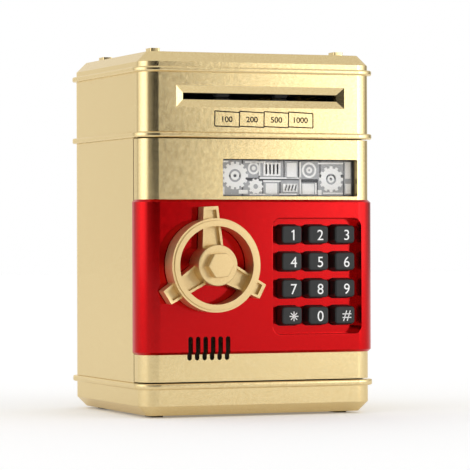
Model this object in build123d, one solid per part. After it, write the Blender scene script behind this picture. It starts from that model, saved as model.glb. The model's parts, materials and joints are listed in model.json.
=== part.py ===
from build123d import *
import math
import os

# Toy safe bank: a gold plastic case with a head that draws in notes, a hinged front door with a red plate,
# a keypad, a window and a handwheel that works a latch bolt. Millimetres, +Z up, front towards -Y.
# Every function works with the flat front face of the case at y = 0. save() moves the finished solids back,
# so that the origin is at the middle of the footprint, on the floor.

# --- case -----------------------------------------------------------------------------------------------
BODY_W = 128.0          # width over the flat sides
BODY_D = 115.5          # depth, front face to back face
CORNER_R = 9.0          # vertical corners
WALL = 2.4              # wall of the gold mouldings
RIB_PROUD = 2.2         # how far the three moulding lines stand out
RIB_EDGE = 0.7          # bevel of their edges
FOOT_H = 1.2            # rubber feet below the base
BASE_H = 16.7           # base tray
BASE_RIB_H = 3.1        # moulding line at its top
BASE_CHAMFER = 5.0      # slope round its bottom
BAY_H = 125.6           # door and side walls, base to head
HEAD_H = 36.2           # head, up to the roof seam
MID_RIB_H = 2.9
TOP_RIB_H = 2.7
ROOF_H = 7.9
ROOF_CHAMFER = 5.3
LUG_W, LUG_D, LUG_H = 6.0, 13.0, 2.4    # stacking lugs on the roof; the feet have the same outline
LUG_X, LUG_Y = 51.3, 38.2               # their places from the middle of the roof
FIT = 0.3               # gap between neighbouring mouldings
RUN = 0.05              # radial play of a turning shaft
PRESS = 0.02            # radial play of a pressed pin
BOSS_R, BOSS_L = 4.0, 14.0      # screw bosses of the case
SCREW_R = 1.5           # shank of the case screws
SCREW_HEAD_R, SCREW_HEAD_H = 2.9, 1.8
CASE_BOSS_Y, CASE_BOSS_BACK = 46.0, 32.0   # case screws: from the front face, from the back face

# --- door -----------------------------------------------------------------------------------------------
DOOR_D = 13.4           # how far the door wraps round the sides
DOOR_GAP = 0.6          # gap above and below it
SEAM_GAP = 0.9          # gap between door and side wall
BARREL_R = 2.5          # rounded hinge edge
PIN_R = 1.2             # hinge pins
PIN_IN_DOOR, PIN_IN_CASE = 9.0, 4.0
PIN_BOSS_R, PIN_BOSS_H = 4.0, 6.0

PLATE_T = 1.65          # red plate
PLATE_Z0, PLATE_H = 32.4, 79.4
PLATE_WRAP = 12.1       # how far it reaches back on the latch side
PLATE_HINGE_SETBACK = 4.0   # and how far it stays in front of the hinge axis
PLATE_EDGE = 1.3

WINDOW_X, WINDOW_Z = 17.5, 123.1        # middle of the window
WINDOW_W, WINDOW_H = 75.5, 19.2
WINDOW_DEPTH = 4.6      # front face to pane
PANE_T, PANE_LAP = 1.2, 1.2
PICTURE_T, RELIEF_H = 1.0, 0.7
WINDOW_WALL = 1.4

PAD_X, PAD_Z = 31.8, 72.1               # middle of the keypad well
PAD_W, PAD_H = 49.7, 59.8
PAD_R = 4.0
PAD_DEPTH = 8.0         # red face to the well's floor
PAD_WALL = 1.5
KEY_PITCH_X, KEY_PITCH_Z = 14.95, 14.05
KEY_X, KEY_Z = 32.2, 72.7               # middle of the key field
KEY_W, KEY_H = 13.0, 10.6
KEY_DRAFT = 0.55        # how much each side leans in
KEY_R = 2.0
KEY_EDGE = 0.9
KEY_SINK = 0.7          # key tops below the red face
KEY_PLAY = 0.25
KEY_LIP, KEY_LIP_T = 0.8, 1.2           # retaining lip behind the well's floor
KEY_TRAVEL = 1.5
MAT_T, MAT_PAD_T = 0.8, 0.5
BOARD_T = 1.6
BOARD_MARGIN = 1.5

GRILLE_X, GRILLE_Z0, GRILLE_H = -28.5, 30.6, 11.1
SLOT_COUNT, SLOT_PITCH, SLOT_W = 6, 4.1, 2.3
SPEAKER_R, SPEAKER_T = 13.6, 5.0

COVER_T = 1.6           # inner cover of the door
COVER_DEPTH = 26.0      # front face to the cover's back
COVER_X0, COVER_X1 = -50.0, 57.5
COVER_Z0, COVER_Z1 = 31.0, 110.0
COVER_SCREWS = ((-55.5, 26.0), (-55.5, 134.5), (53.0, 26.0), (52.0, 137.6))
SMALL_SCREW_R, SMALL_HEAD_R, SMALL_HEAD_H = 1.1, 2.4, 1.5

# --- handwheel and latch --------------------------------------------------------------------------------
WHEEL_X, WHEEL_Z = -29.0, 78.1
WHEEL_GAP = 0.8         # between the rim and the red plate
RIM_R, RIM_BORE_R, RIM_DEPTH = 23.95, 20.0, 11.85
RIM_STEP, RIM_FACE_R = 0.7, 22.9        # raised front face of the rim
HUB_R = 10.5
HUB_PROUD = 1.85        # hub in front of the rim
HUB_GAP = 0.3
SPOKE_ANGLES = (93.0, 213.0, 333.0)
SPOKE_W, SPOKE_TIP_W, SPOKE_T = 12.7, 7.9, 7.35
SPOKE_REACH = 30.0      # the tips stand out past the rim
SPOKE_RIB = 1.6         # ribs on both sides of its channel
SPOKE_CHANNEL_T = 2.4
HEX_R, HEX_H = 6.9, 4.65
HEX_EDGE = 0.5
WHEEL_EDGE = 0.6        # bevel of the hub and of the rim's face
HEX_SHANK_R, HEX_SHANK_L = 2.5, 4.0
SHAFT_R = 3.0
SHAFT_BOSS_R = 6.5
CRANK_ARM = 7.0         # crank pin from the wheel's axis
CRANK_DISC_R, CRANK_DISC_T = 10.0, 3.0
CRANK_PIN_R = 1.5
LATCH_TURN = 70.0       # degrees of the handwheel
BOLT_T = 4.0
BOLT_DOWN, BOLT_UP = 8.0, 12.0          # below and above the wheel's axis
BOLT_TIP = 1.0          # how far the drawn-back bolt stands out of the cover
BOLT_TAIL = 15.0        # behind the axis
BOLT_Y = 17.6           # front face of the bolt
PIN_SLOT_PLAY = 0.3
KEEPER_T = 1.6
KEEPER_H = 34.0
KEEPER_REACH = 8.1
KEEPER_L = 15.0
PLUNGER_X = -40.0
PLUNGER_R, PLUNGER_TRAVEL = 2.0, 3.0
PLUNGER_L = 18.0
COIL_R, COIL_L = 4.7, 13.0
COIL_DROP = 3.0         # coil's top below the plunger's tip
YOKE_T, YOKE_W = 1.2, 12.0

# --- note feeder in the head ----------------------------------------------------------------------------
NOTE_X, NOTE_Z = 1.1, 164.7             # middle of the note slot
NOTE_W, NOTE_H = 93.4, 11.0             # outside of its bevelled frame
THROAT_W, THROAT_H = 85.3, 3.4          # the slot itself
BEVEL_DEPTH = 1.2
FUNNEL_DEPTH = 6.5
FUNNEL_EDGE = 3.0
GUIDE_T, GUIDE_GAP = 2.0, 3.7
GUIDE_DEPTH = 18.0
CHEEK_T, CHEEK_UP, CHEEK_DOWN = 2.0, 8.6, 12.6
ROLLER_Y = 15.5         # behind the front face
ROLLER_XS = (-15.2, 17.4)
ROLLER_W = 7.0
ROLLER_PLAY = 0.8       # round a roller in the guide plates
FEED_R, PINCH_R = 6.0, 4.0
PINCH_GAP = 0.3
FEED_SHAFT_R, PINCH_SHAFT_R = 1.5, 1.25
MODULE = 0.6
PRESSURE = 25.0         # degrees, usual for small moulded gears with few teeth
ROLLER_TEETH, SMALL_TEETH, BIG_TEETH, PINION_TEETH = 24, 12, 30, 12
BACKLASH = 0.10
GEAR_T = 3.5
STUD_R = 1.25
TRAIN_ANGLE = -22.0     # roller gear to compound gear, degrees from level
MOTOR_ANGLE = -8.0      # compound gear to motor
MOTOR_W, MOTOR_FLAT, MOTOR_L = 20.0, 15.0, 25.0
MOTOR_SHAFT_R = 1.0

# --- coins and batteries --------------------------------------------------------------------------------
COIN_W, COIN_T = 30.0, 3.2
COIN_Y = 62.0
CHUTE_WALL = 1.4
CHUTE_PLAY = 0.8
CHUTE_END = 5.0         # above the bottom of the head
CELL_R, CELL_L = 7.25, 50.5
CELL_NUB_R, CELL_NUB_L = 2.6, 1.2
CELL_COUNT, CELL_PITCH = 3, 15.0
CELL_ROOM = 6.0         # for the contacts
BATTERY_Y = 66.0
BATTERY_WALL = 1.6
LID_T, LID_LAP, LID_EAR = 1.8, 2.6, 4.4
DECK_T = 2.4
LEDGE_W, LEDGE_H = 2.0, 2.0

# --- worked out -----------------------------------------------------------------------------------------
HALF_W = BODY_W / 2
BASE_TOP = FOOT_H + BASE_H
HEAD_Z = BASE_TOP + BAY_H
ROOF_Z = HEAD_Z + HEAD_H
ROOF_TOP = ROOF_Z + ROOF_H
DOOR_Z0 = BASE_TOP + DOOR_GAP
DOOR_Z1 = HEAD_Z - DOOR_GAP
SIDE_Y = DOOR_D + SEAM_GAP
HINGE_X = HALF_W - BARREL_R
HINGE_Y = DOOR_D - BARREL_R
PLATE_Z1 = PLATE_Z0 + PLATE_H
BOSS_X = HALF_W - BASE_CHAMFER - SCREW_HEAD_R - 3 * FIT
BOSS_YS = (CASE_BOSS_Y, BODY_D - CASE_BOSS_BACK)
BOSSES = [(side * BOSS_X, y) for side in (-1, 1) for y in BOSS_YS]
RIM_BACK = -PLATE_T - WHEEL_GAP
RIM_FRONT = RIM_BACK - RIM_DEPTH
HUB_FRONT = RIM_FRONT - HUB_PROUD
REACH = HEX_H - HUB_FRONT
FRONT_Y = REACH - (REACH + BODY_D + RIB_PROUD) / 2
WELL_FLOOR = PAD_DEPTH - PLATE_T
WELL_BACK = WELL_FLOOR + PAD_WALL
KEY_LIP_Y = WELL_BACK + FIT
MAT_Y = KEY_LIP_Y + KEY_LIP_T + KEY_TRAVEL + 0.1
BOARD_Y = MAT_Y + MAT_PAD_T + MAT_T
BOARD_X0 = PAD_X - PAD_W / 2 - BOARD_MARGIN
BOARD_X1 = PAD_X + PAD_W / 2 - BOARD_MARGIN
BOARD_Z0 = PAD_Z - PAD_H / 2 - BOARD_MARGIN
BOARD_Z1 = PAD_Z + PAD_H / 2 + BOARD_MARGIN
BOARD_POSTS = [(x, z) for x in (BOARD_X0 + 2, BOARD_X1 - 2) for z in (BOARD_Z0 - 1, BOARD_Z1 + 1)]
COVER_BACK = COVER_DEPTH - COVER_T
FLANGE_Y = DOOR_D - COVER_T
CRANK_SWING = math.radians(LATCH_TURN / 2)
LATCH_THROW = 2 * CRANK_ARM * math.sin(CRANK_SWING)
CRANK_PIN_X = WHEEL_X + CRANK_ARM * math.sin(CRANK_SWING)
CRANK_PIN_Z = WHEEL_Z + CRANK_ARM * math.cos(CRANK_SWING)
CRANK_Y = BOLT_Y - FIT - CRANK_DISC_T
BOLT_X0 = COVER_X0 - BOLT_TIP
BOLT_X1 = WHEEL_X + BOLT_TAIL
BOLT_Z0 = WHEEL_Z - BOLT_DOWN
BOLT_Z1 = WHEEL_Z + BOLT_UP
PLUNGER_Y = BOLT_Y + BOLT_T / 2
PLUNGER_TOP = BOLT_Z0 - FIT
GUIDE_LOW = NOTE_Z - GUIDE_GAP / 2
GUIDE_HIGH = NOTE_Z + GUIDE_GAP / 2
GUIDE_Y = FUNNEL_DEPTH + FIT
CHEEK_X0 = NOTE_X - THROAT_W / 2 - 4.0
CHEEK_X1 = NOTE_X + THROAT_W / 2 + 4.0
FEED_Z = NOTE_Z - FEED_R
PINCH_Z = NOTE_Z + PINCH_R + PINCH_GAP
GEAR_X = CHEEK_X1 + CHEEK_T + 0.6
TRAIN_REACH = MODULE * (ROLLER_TEETH + SMALL_TEETH) / 2
TRAIN_Y = ROLLER_Y + TRAIN_REACH * math.cos(math.radians(TRAIN_ANGLE))
TRAIN_Z = FEED_Z + TRAIN_REACH * math.sin(math.radians(TRAIN_ANGLE))
MOTOR_REACH = MODULE * (BIG_TEETH + PINION_TEETH) / 2
MOTOR_Y = TRAIN_Y + MOTOR_REACH * math.cos(math.radians(MOTOR_ANGLE))
MOTOR_Z = TRAIN_Z + MOTOR_REACH * math.sin(math.radians(MOTOR_ANGLE))
CELLS_W = CELL_COUNT * CELL_PITCH + 0.5
CELLS_L = CELL_L + CELL_ROOM
LID_TOP = FOOT_H + LID_T
CELL_Z = LID_TOP + FIT + CELL_R
BAY_TOP = CELL_Z + CELL_R + FIT + BATTERY_WALL
DECK_Z = BASE_TOP - DECK_T


# --- shapes used all over -------------------------------------------------------------------------------
def box(x0, x1, y0, y1, z0, z1):
    """Box between two corners."""
    return Pos((x0 + x1) / 2, (y0 + y1) / 2, (z0 + z1) / 2) * Box(x1 - x0, y1 - y0, z1 - z0)


def rod_x(y, z, r, x0, x1):
    """Round rod along X."""
    return Pos((x0 + x1) / 2, y, z) * Rot(0, 90, 0) * Cylinder(r, x1 - x0)


def rod_y(x, z, r, y0, y1):
    """Round rod along Y."""
    return Pos(x, (y0 + y1) / 2, z) * Rot(90, 0, 0) * Cylinder(r, y1 - y0)


def rod_z(x, y, r, z0, z1):
    """Round rod along Z."""
    return Pos(x, y, (z0 + z1) / 2) * Cylinder(r, z1 - z0)


def facing(y):
    """Plane that looks out of the front, with local x to the right and local y up."""
    return Plane(origin=(0, y, 0), x_dir=(1, 0, 0), z_dir=(0, -1, 0))


def tile(x, z, w, h, r, y0, y1):
    """Plate with rounded corners, parallel to the front, between two depths."""
    return extrude(facing(y1) * Pos(x, z) * RectangleRounded(w, h, r), y1 - y0)


def slab(z0, z1, grow=0.0):
    """Slice of the case's footprint, grown or shrunk all round by an even margin."""
    shape = RectangleRounded(BODY_W + 2 * grow, BODY_D + 2 * grow, CORNER_R + grow)
    return Pos(0, BODY_D / 2, z0) * extrude(shape, z1 - z0)


def moulding_line(z0, z1):
    """Raised line all round the case."""
    line = slab(z0, z1, RIB_PROUD)
    ends = line.edges().group_by(Axis.Z)
    line = chamfer(ends[0] + ends[-1], RIB_EDGE)
    return line - slab(z0 - 1, z1 + 1, -WALL)


def screw_z(x, y, r, head_r, head_h, seat, tip):
    """Screw along Z: the head sits on the seat, on the side away from the tip."""
    away = 1 if seat > tip else -1
    low, high = sorted((seat, tip))
    head_low, head_high = sorted((seat, seat + away * head_h))
    return rod_z(x, y, r, low, high) + rod_z(x, y, head_r, head_low, head_high)


def screw_y(x, z, r, head_r, head_h, seat, tip):
    """Screw along Y with its head on the seat and its tip towards the front."""
    return rod_y(x, z, r, tip, seat) + rod_y(x, z, head_r, seat, seat + head_h)


def boss(x, y, r, z0, z1, web):
    """Screw post with a web to the side wall beside it."""
    side = math.copysign(1, x)
    edge = side * (HALF_W - WALL / 2)
    return rod_z(x, y, r, z0, z1) + box(min(x, edge), max(x, edge), y - web / 2, y + web / 2, z0, z1)


def mirrored_spots(dx, dy):
    """Four places round the middle of the footprint."""
    return [(sx * dx, BODY_D / 2 + sy * dy) for sx in (-1, 1) for sy in (-1, 1)]


# --- base -----------------------------------------------------------------------------------------------
def battery_lid_outline(grow):
    return CELLS_L / 2 + LID_LAP + grow, CELLS_W / 2 + BATTERY_WALL + LID_EAR + grow


def base_tray():
    shell = slab(FOOT_H, BASE_TOP)
    shell = chamfer(shell.edges().group_by(Axis.Z)[0], BASE_CHAMFER)
    hollow = slab(FOOT_H + WALL, BASE_TOP + 1, -WALL)
    hollow = chamfer(hollow.edges().group_by(Axis.Z)[0], BASE_CHAMFER)
    tray = shell - hollow
    tray += moulding_line(BASE_TOP - BASE_RIB_H, BASE_TOP)
    ledge = slab(DECK_Z - LEDGE_H, DECK_Z, -WALL + 0.1)
    tray += ledge - slab(DECK_Z - LEDGE_H - 1, DECK_Z + 1, -WALL - LEDGE_W)
    for x, y in BOSSES:
        tray += boss(x, y, BOSS_R, FOOT_H + BASE_CHAMFER + 1, DECK_Z, WALL)
        tray += rod_z(x, y, BOSS_R, FOOT_H + WALL / 2, DECK_Z)
    pin_boss = rod_z(HINGE_X, HINGE_Y, PIN_BOSS_R, BASE_TOP - PIN_BOSS_H, BASE_TOP)
    tray += pin_boss & slab(0, BASE_TOP, -WALL / 2)
    half_x, half_y = battery_lid_outline(FIT)
    rim_x, rim_y = half_x + BATTERY_WALL, half_y + BATTERY_WALL
    tray += box(-rim_x, rim_x, BATTERY_Y - rim_y, BATTERY_Y + rim_y, FOOT_H, LID_TOP + BATTERY_WALL)
    wall_x, wall_y = CELLS_L / 2 + BATTERY_WALL, CELLS_W / 2 + BATTERY_WALL
    tray += box(-wall_x, wall_x, BATTERY_Y - wall_y, BATTERY_Y + wall_y, FOOT_H, BAY_TOP)
    tray -= box(-half_x, half_x, BATTERY_Y - half_y, BATTERY_Y + half_y, FOOT_H - 1, LID_TOP)
    half_l, half_w = CELLS_L / 2, CELLS_W / 2
    ceiling = BAY_TOP - BATTERY_WALL
    tray -= box(-half_l, half_l, BATTERY_Y - half_w, BATTERY_Y + half_w, FOOT_H - 1, ceiling)
    tray -= lid_screw_hole(LID_TOP - 1, LID_TOP + BATTERY_WALL + 1)
    for x, y in BOSSES:
        tray -= rod_z(x, y, SCREW_R + FIT, FOOT_H - 1, DECK_Z + 1)
        tray -= rod_z(x, y, SCREW_HEAD_R + FIT, FOOT_H - 1, FOOT_H + WALL + SCREW_HEAD_H)
    tray -= rod_z(HINGE_X, HINGE_Y, PIN_R + RUN, BASE_TOP - PIN_IN_CASE - FIT, BASE_TOP + 1)
    return tray


def feet():
    pads = []
    for x, y in mirrored_spots(LUG_X, LUG_Y):
        pads.append(Pos(x, y, 0) * extrude(RectangleRounded(LUG_W, LUG_D, 1.0), FOOT_H))
    return pads


def lid_screw_spot():
    return 0.0, BATTERY_Y + CELLS_W / 2 + BATTERY_WALL + LID_EAR / 2


def lid_screw_hole(z0, z1):
    x, y = lid_screw_spot()
    return rod_z(x, y, SMALL_SCREW_R + PRESS, z0, z1)


def battery_cover():
    half_x, half_y = battery_lid_outline(0)
    x, y = lid_screw_spot()
    lid = box(-half_x, half_x, BATTERY_Y - half_y, BATTERY_Y + half_y, FOOT_H, LID_TOP)
    for i in range(5):
        groove_y = BATTERY_Y + (i - 2) * 4.0
        lid -= box(-12, 12, groove_y - 0.6, groove_y + 0.6, FOOT_H - 1, FOOT_H + 0.5)
    lid -= rod_z(x, y, SMALL_SCREW_R + FIT, FOOT_H - 1, LID_TOP + 1)
    lid -= rod_z(x, y, 1.6 + FIT, FOOT_H - 1, FOOT_H + 0.9)
    return lid


def battery_cover_screw():
    x, y = lid_screw_spot()
    return screw_z(x, y, SMALL_SCREW_R, 1.6, 0.8, FOOT_H + 0.9, LID_TOP + BATTERY_WALL)


def cell_spots():
    middle = (CELL_COUNT - 1) / 2
    return [(BATTERY_Y + (i - middle) * CELL_PITCH, 1 if i % 2 else -1) for i in range(CELL_COUNT)]


def aa_cells():
    cells = []
    for y, way in cell_spots():
        nub = way * CELLS_L / 2 - way * 0.5
        shoulder = nub - way * CELL_NUB_L
        end = nub - way * CELL_L
        can = rod_x(y, CELL_Z, CELL_R, min(shoulder, end), max(shoulder, end))
        cells.append(can + rod_x(y, CELL_Z, CELL_NUB_R, min(nub, shoulder), max(nub, shoulder)))
    return cells


def battery_contacts():
    leaf = 0.4
    parts = []
    for y, way in cell_spots():
        for end in (-1, 1):
            wall = end * CELLS_L / 2
            inner = wall - end * leaf
            contact = box(min(wall, inner), max(wall, inner), y - 5, y + 5, CELL_Z - 5, CELL_Z + 5)
            if end != way:
                tip = -way * (CELLS_L / 2 - (CELL_ROOM - 0.5))
                cone = Solid.make_cone(5.0, 3.0, abs(inner - tip) - 0.1)
                contact += Pos(inner, y, CELL_Z) * Rot(0, -90 * end, 0) * cone
            parts.append(contact)
    return parts


def cavity_floor():
    deck = slab(DECK_Z, BASE_TOP, -WALL - FIT)
    wall_x, wall_y = CELLS_L / 2 + BATTERY_WALL + FIT, CELLS_W / 2 + BATTERY_WALL + FIT
    deck -= box(-wall_x, wall_x, BATTERY_Y - wall_y, BATTERY_Y + wall_y, DECK_Z - 1, BASE_TOP + 1)
    deck -= rod_z(HINGE_X, HINGE_Y, PIN_BOSS_R + FIT, DECK_Z - 1, BASE_TOP + 1)
    for x, y in BOSSES:
        deck -= rod_z(x, y, SCREW_R + FIT, DECK_Z - 1, BASE_TOP + 1)
    return deck


def case_screws():
    seat = FOOT_H + WALL + SCREW_HEAD_H
    return [screw_z(x, y, SCREW_R, SCREW_HEAD_R, SCREW_HEAD_H, seat, BASE_TOP + 9) for x, y in BOSSES]


# --- side and back walls --------------------------------------------------------------------------------
def case_body():
    walls = slab(BASE_TOP, HEAD_Z) - slab(BASE_TOP - 1, HEAD_Z + 1, -WALL)
    for x, y in BOSSES:
        walls += boss(x, y, BOSS_R, BASE_TOP, BASE_TOP + BOSS_L, WALL)
        walls += boss(x, y, BOSS_R, HEAD_Z - BOSS_L, HEAD_Z, WALL)
    walls -= box(-BODY_W, BODY_W, -1, SIDE_Y, BASE_TOP - 1, HEAD_Z + 1)
    for x, y in BOSSES:
        walls -= rod_z(x, y, SCREW_R + PRESS, BASE_TOP - 1, BASE_TOP + 10)
        walls -= rod_z(x, y, SCREW_R + PRESS, HEAD_Z - 10, HEAD_Z + 1)
    for z in keeper_screw_heights():
        walls -= rod_x(keeper_screw_y(), z, SMALL_SCREW_R + PRESS, -HALF_W + WALL / 2, -HALF_W + WALL + 1)
    return walls


def keeper_screw_heights():
    middle = (BOLT_Z0 + BOLT_Z1) / 2
    return (middle - KEEPER_H / 2 + 4, middle + KEEPER_H / 2 - 4)


def keeper_screw_y():
    return SIDE_Y + KEEPER_L / 2 + 1


def keeper():
    wall = -HALF_W + WALL
    middle = (BOLT_Z0 + BOLT_Z1) / 2
    low, high = middle - KEEPER_H / 2, middle + KEEPER_H / 2
    lip_back = BOLT_Y - 2 * FIT
    part = box(wall, wall + KEEPER_T, lip_back - KEEPER_T, SIDE_Y + KEEPER_L, low, high)
    part += box(wall, wall + KEEPER_REACH, lip_back - KEEPER_T, lip_back, low, high)
    for z in keeper_screw_heights():
        part -= rod_x(keeper_screw_y(), z, SMALL_SCREW_R + FIT, wall - 1, wall + KEEPER_T + 1)
    return part


def keeper_screws():
    wall = -HALF_W + WALL
    seat = wall + KEEPER_T
    screws = []
    for z in keeper_screw_heights():
        y = keeper_screw_y()
        shank = rod_x(y, z, SMALL_SCREW_R, -HALF_W + WALL / 2, seat)
        screws.append(shank + rod_x(y, z, SMALL_HEAD_R, seat, seat + SMALL_HEAD_H))
    return screws


# --- head -----------------------------------------------------------------------------------------------
def head_shell():
    head = slab(HEAD_Z, ROOF_Z) - slab(HEAD_Z - 1, ROOF_Z + 1, -WALL)
    head += moulding_line(HEAD_Z, HEAD_Z + MID_RIB_H)
    head += moulding_line(ROOF_Z - TOP_RIB_H, ROOF_Z)
    for x, y in BOSSES:
        head += boss(x, y, BOSS_R, HEAD_Z, HEAD_Z + MID_RIB_H, 2 * BOSS_R)
    head += rod_z(HINGE_X, HINGE_Y, PIN_BOSS_R, HEAD_Z, HEAD_Z + PIN_BOSS_H) & slab(HEAD_Z, ROOF_Z, -WALL / 2)
    block_w, block_h = NOTE_W / 2 + FUNNEL_EDGE, NOTE_H / 2 + FUNNEL_EDGE
    x0, x1 = NOTE_X - block_w, NOTE_X + block_w
    head += box(x0, x1, WALL / 2, FUNNEL_DEPTH, NOTE_Z - block_h, NOTE_Z + block_h)
    head -= note_funnel()
    for x, y in BOSSES:
        head -= rod_z(x, y, SCREW_R + FIT, HEAD_Z - 1, HEAD_Z + MID_RIB_H + 1)
    head -= rod_z(HINGE_X, HINGE_Y, PIN_R + RUN, HEAD_Z - 1, HEAD_Z + PIN_IN_CASE + FIT)
    for x, z in feeder_screw_spots():
        head -= rod_y(x, z, SMALL_SCREW_R + PRESS, WALL, FUNNEL_DEPTH + 1)
    return head


def note_funnel():
    """Four bevelled faces that lead a note into the slot."""
    outside = facing(0) * Pos(NOTE_X, NOTE_Z) * Rectangle(NOTE_W, NOTE_H)
    inside = facing(BEVEL_DEPTH) * Pos(NOTE_X, NOTE_Z) * Rectangle(THROAT_W, THROAT_H)
    funnel = loft([outside, inside], ruled=True)
    half_w, half_h = THROAT_W / 2, THROAT_H / 2
    x0, x1 = NOTE_X - half_w, NOTE_X + half_w
    throat = box(x0, x1, BEVEL_DEPTH, FUNNEL_DEPTH + 1, NOTE_Z - half_h, NOTE_Z + half_h)
    mouth = box(
        NOTE_X - NOTE_W / 2, NOTE_X + NOTE_W / 2, -1, 0, NOTE_Z - NOTE_H / 2, NOTE_Z + NOTE_H / 2
    )
    return funnel + throat + mouth


def head_screws():
    seat = HEAD_Z + MID_RIB_H
    return [screw_z(x, y, SCREW_R, SCREW_HEAD_R, SCREW_HEAD_H, seat, HEAD_Z - 9) for x, y in BOSSES]


def top_cover():
    roof = slab(ROOF_Z, ROOF_TOP)
    roof = chamfer(roof.edges().group_by(Axis.Z)[-1], ROOF_CHAMFER)
    hollow = slab(ROOF_Z - 1, ROOF_TOP - WALL, -WALL)
    hollow = chamfer(hollow.edges().group_by(Axis.Z)[-1], ROOF_CHAMFER - 0.9)
    roof -= hollow
    roof += slab(ROOF_Z - 2, ROOF_Z + 0.5, -WALL - FIT) - slab(ROOF_Z - 3, ROOF_Z + 1, -WALL - FIT - 1.4)
    roof += slab(ROOF_Z, ROOF_Z + 0.5, -WALL / 2) - slab(ROOF_Z - 1, ROOF_Z + 1, -WALL - FIT - 1.4)
    for x, y in mirrored_spots(LUG_X, LUG_Y):
        lug = extrude(RectangleRounded(LUG_W, LUG_D, 0.8), LUG_H + 0.5)
        roof += Pos(x, y, ROOF_TOP - 0.5) * lug
    y0, y1 = COIN_Y - COIN_T / 2, COIN_Y + COIN_T / 2
    roof -= box(-COIN_W / 2, COIN_W / 2, y0, y1, ROOF_TOP - WALL - 1, ROOF_TOP + 1)
    return roof


def coin_chute():
    top = ROOF_TOP - WALL
    half_w, half_t = COIN_W / 2 + CHUTE_PLAY, COIN_T / 2 + CHUTE_PLAY
    out_w, out_t = half_w + CHUTE_WALL, half_t + CHUTE_WALL
    low = HEAD_Z + CHUTE_END
    chute = box(-out_w, out_w, COIN_Y - out_t, COIN_Y + out_t, low, top)
    chute += box(-out_w - 3, out_w + 3, COIN_Y - out_t - 3, COIN_Y + out_t + 3, top - CHUTE_WALL, top)
    return chute - box(-half_w, half_w, COIN_Y - half_t, COIN_Y + half_t, low - 1, top + 1)


# --- note feeder ----------------------------------------------------------------------------------------
def feeder_screw_spots():
    z = NOTE_Z + NOTE_H / 2 + FUNNEL_EDGE / 2 - 0.6
    return [(NOTE_X - NOTE_W / 4, z), (NOTE_X + NOTE_W / 4, z)]


def feeder_frame():
    back = GUIDE_Y + GUIDE_DEPTH
    low_plate = box(CHEEK_X0, CHEEK_X1, GUIDE_Y, back, GUIDE_LOW - GUIDE_T, GUIDE_LOW)
    high_plate = box(CHEEK_X0, CHEEK_X1, GUIDE_Y, back, GUIDE_HIGH, GUIDE_HIGH + GUIDE_T)
    for x in ROLLER_XS:
        for radius, depth_z in ((FEED_R, FEED_Z), (PINCH_R, PINCH_Z)):
            half, side = radius + ROLLER_PLAY, ROLLER_W / 2 + ROLLER_PLAY
            y0, y1 = ROLLER_Y - half, ROLLER_Y + half
            window = box(x - side, x + side, y0, y1, depth_z - half, depth_z + half)
            low_plate -= window
            high_plate -= window
    frame = low_plate + high_plate
    for x0 in (CHEEK_X0 - CHEEK_T, CHEEK_X1):
        frame += box(x0, x0 + CHEEK_T, GUIDE_Y, back, NOTE_Z - CHEEK_DOWN, NOTE_Z + CHEEK_UP)
    top_z = NOTE_Z + NOTE_H / 2 + FUNNEL_EDGE + 1
    frame += box(CHEEK_X0, CHEEK_X1, GUIDE_Y, GUIDE_Y + GUIDE_T, GUIDE_HIGH, top_z)
    arm_y = MOTOR_Y + MOTOR_W / 2
    frame += box(CHEEK_X1, CHEEK_X1 + CHEEK_T, GUIDE_Y + 4, arm_y, MOTOR_Z - MOTOR_FLAT / 2 - 0.5, NOTE_Z - 1)
    frame += rod_x(TRAIN_Y, TRAIN_Z, STUD_R, CHEEK_X1 + CHEEK_T - 0.5, GEAR_X + 2 * GEAR_T + 1.2)
    frame -= rod_x(ROLLER_Y, FEED_Z, FEED_SHAFT_R + RUN, CHEEK_X0 - 5, CHEEK_X1 + 5)
    frame -= rod_x(ROLLER_Y, PINCH_Z, PINCH_SHAFT_R + RUN, CHEEK_X0 - 5, CHEEK_X1 + 5)
    frame -= rod_x(MOTOR_Y, MOTOR_Z, 3.2, CHEEK_X1 - 1, CHEEK_X1 + CHEEK_T + 1)
    for x, z in feeder_screw_spots():
        frame -= rod_y(x, z, SMALL_SCREW_R + FIT, GUIDE_Y - 1, GUIDE_Y + GUIDE_T + 1)
    return frame


def feeder_screws():
    seat = GUIDE_Y + GUIDE_T
    head_r = SMALL_HEAD_R - 0.4
    return [screw_y(x, z, SMALL_SCREW_R, head_r, 1.2, seat, WALL) for x, z in feeder_screw_spots()]


def feed_motor():
    x1 = CHEEK_X1
    can = rod_x(MOTOR_Y, MOTOR_Z, MOTOR_W / 2, x1 - MOTOR_L, x1)
    flat = MOTOR_FLAT / 2
    can &= box(x1 - MOTOR_L - 1, x1 + 1, MOTOR_Y - MOTOR_W, MOTOR_Y + MOTOR_W, MOTOR_Z - flat, MOTOR_Z + flat)
    can += rod_x(MOTOR_Y, MOTOR_Z, 4.0, x1 - MOTOR_L - 1.8, x1 - MOTOR_L)
    can += rod_x(MOTOR_Y, MOTOR_Z, 3.0, x1, x1 + 1.6)
    return can


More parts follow.
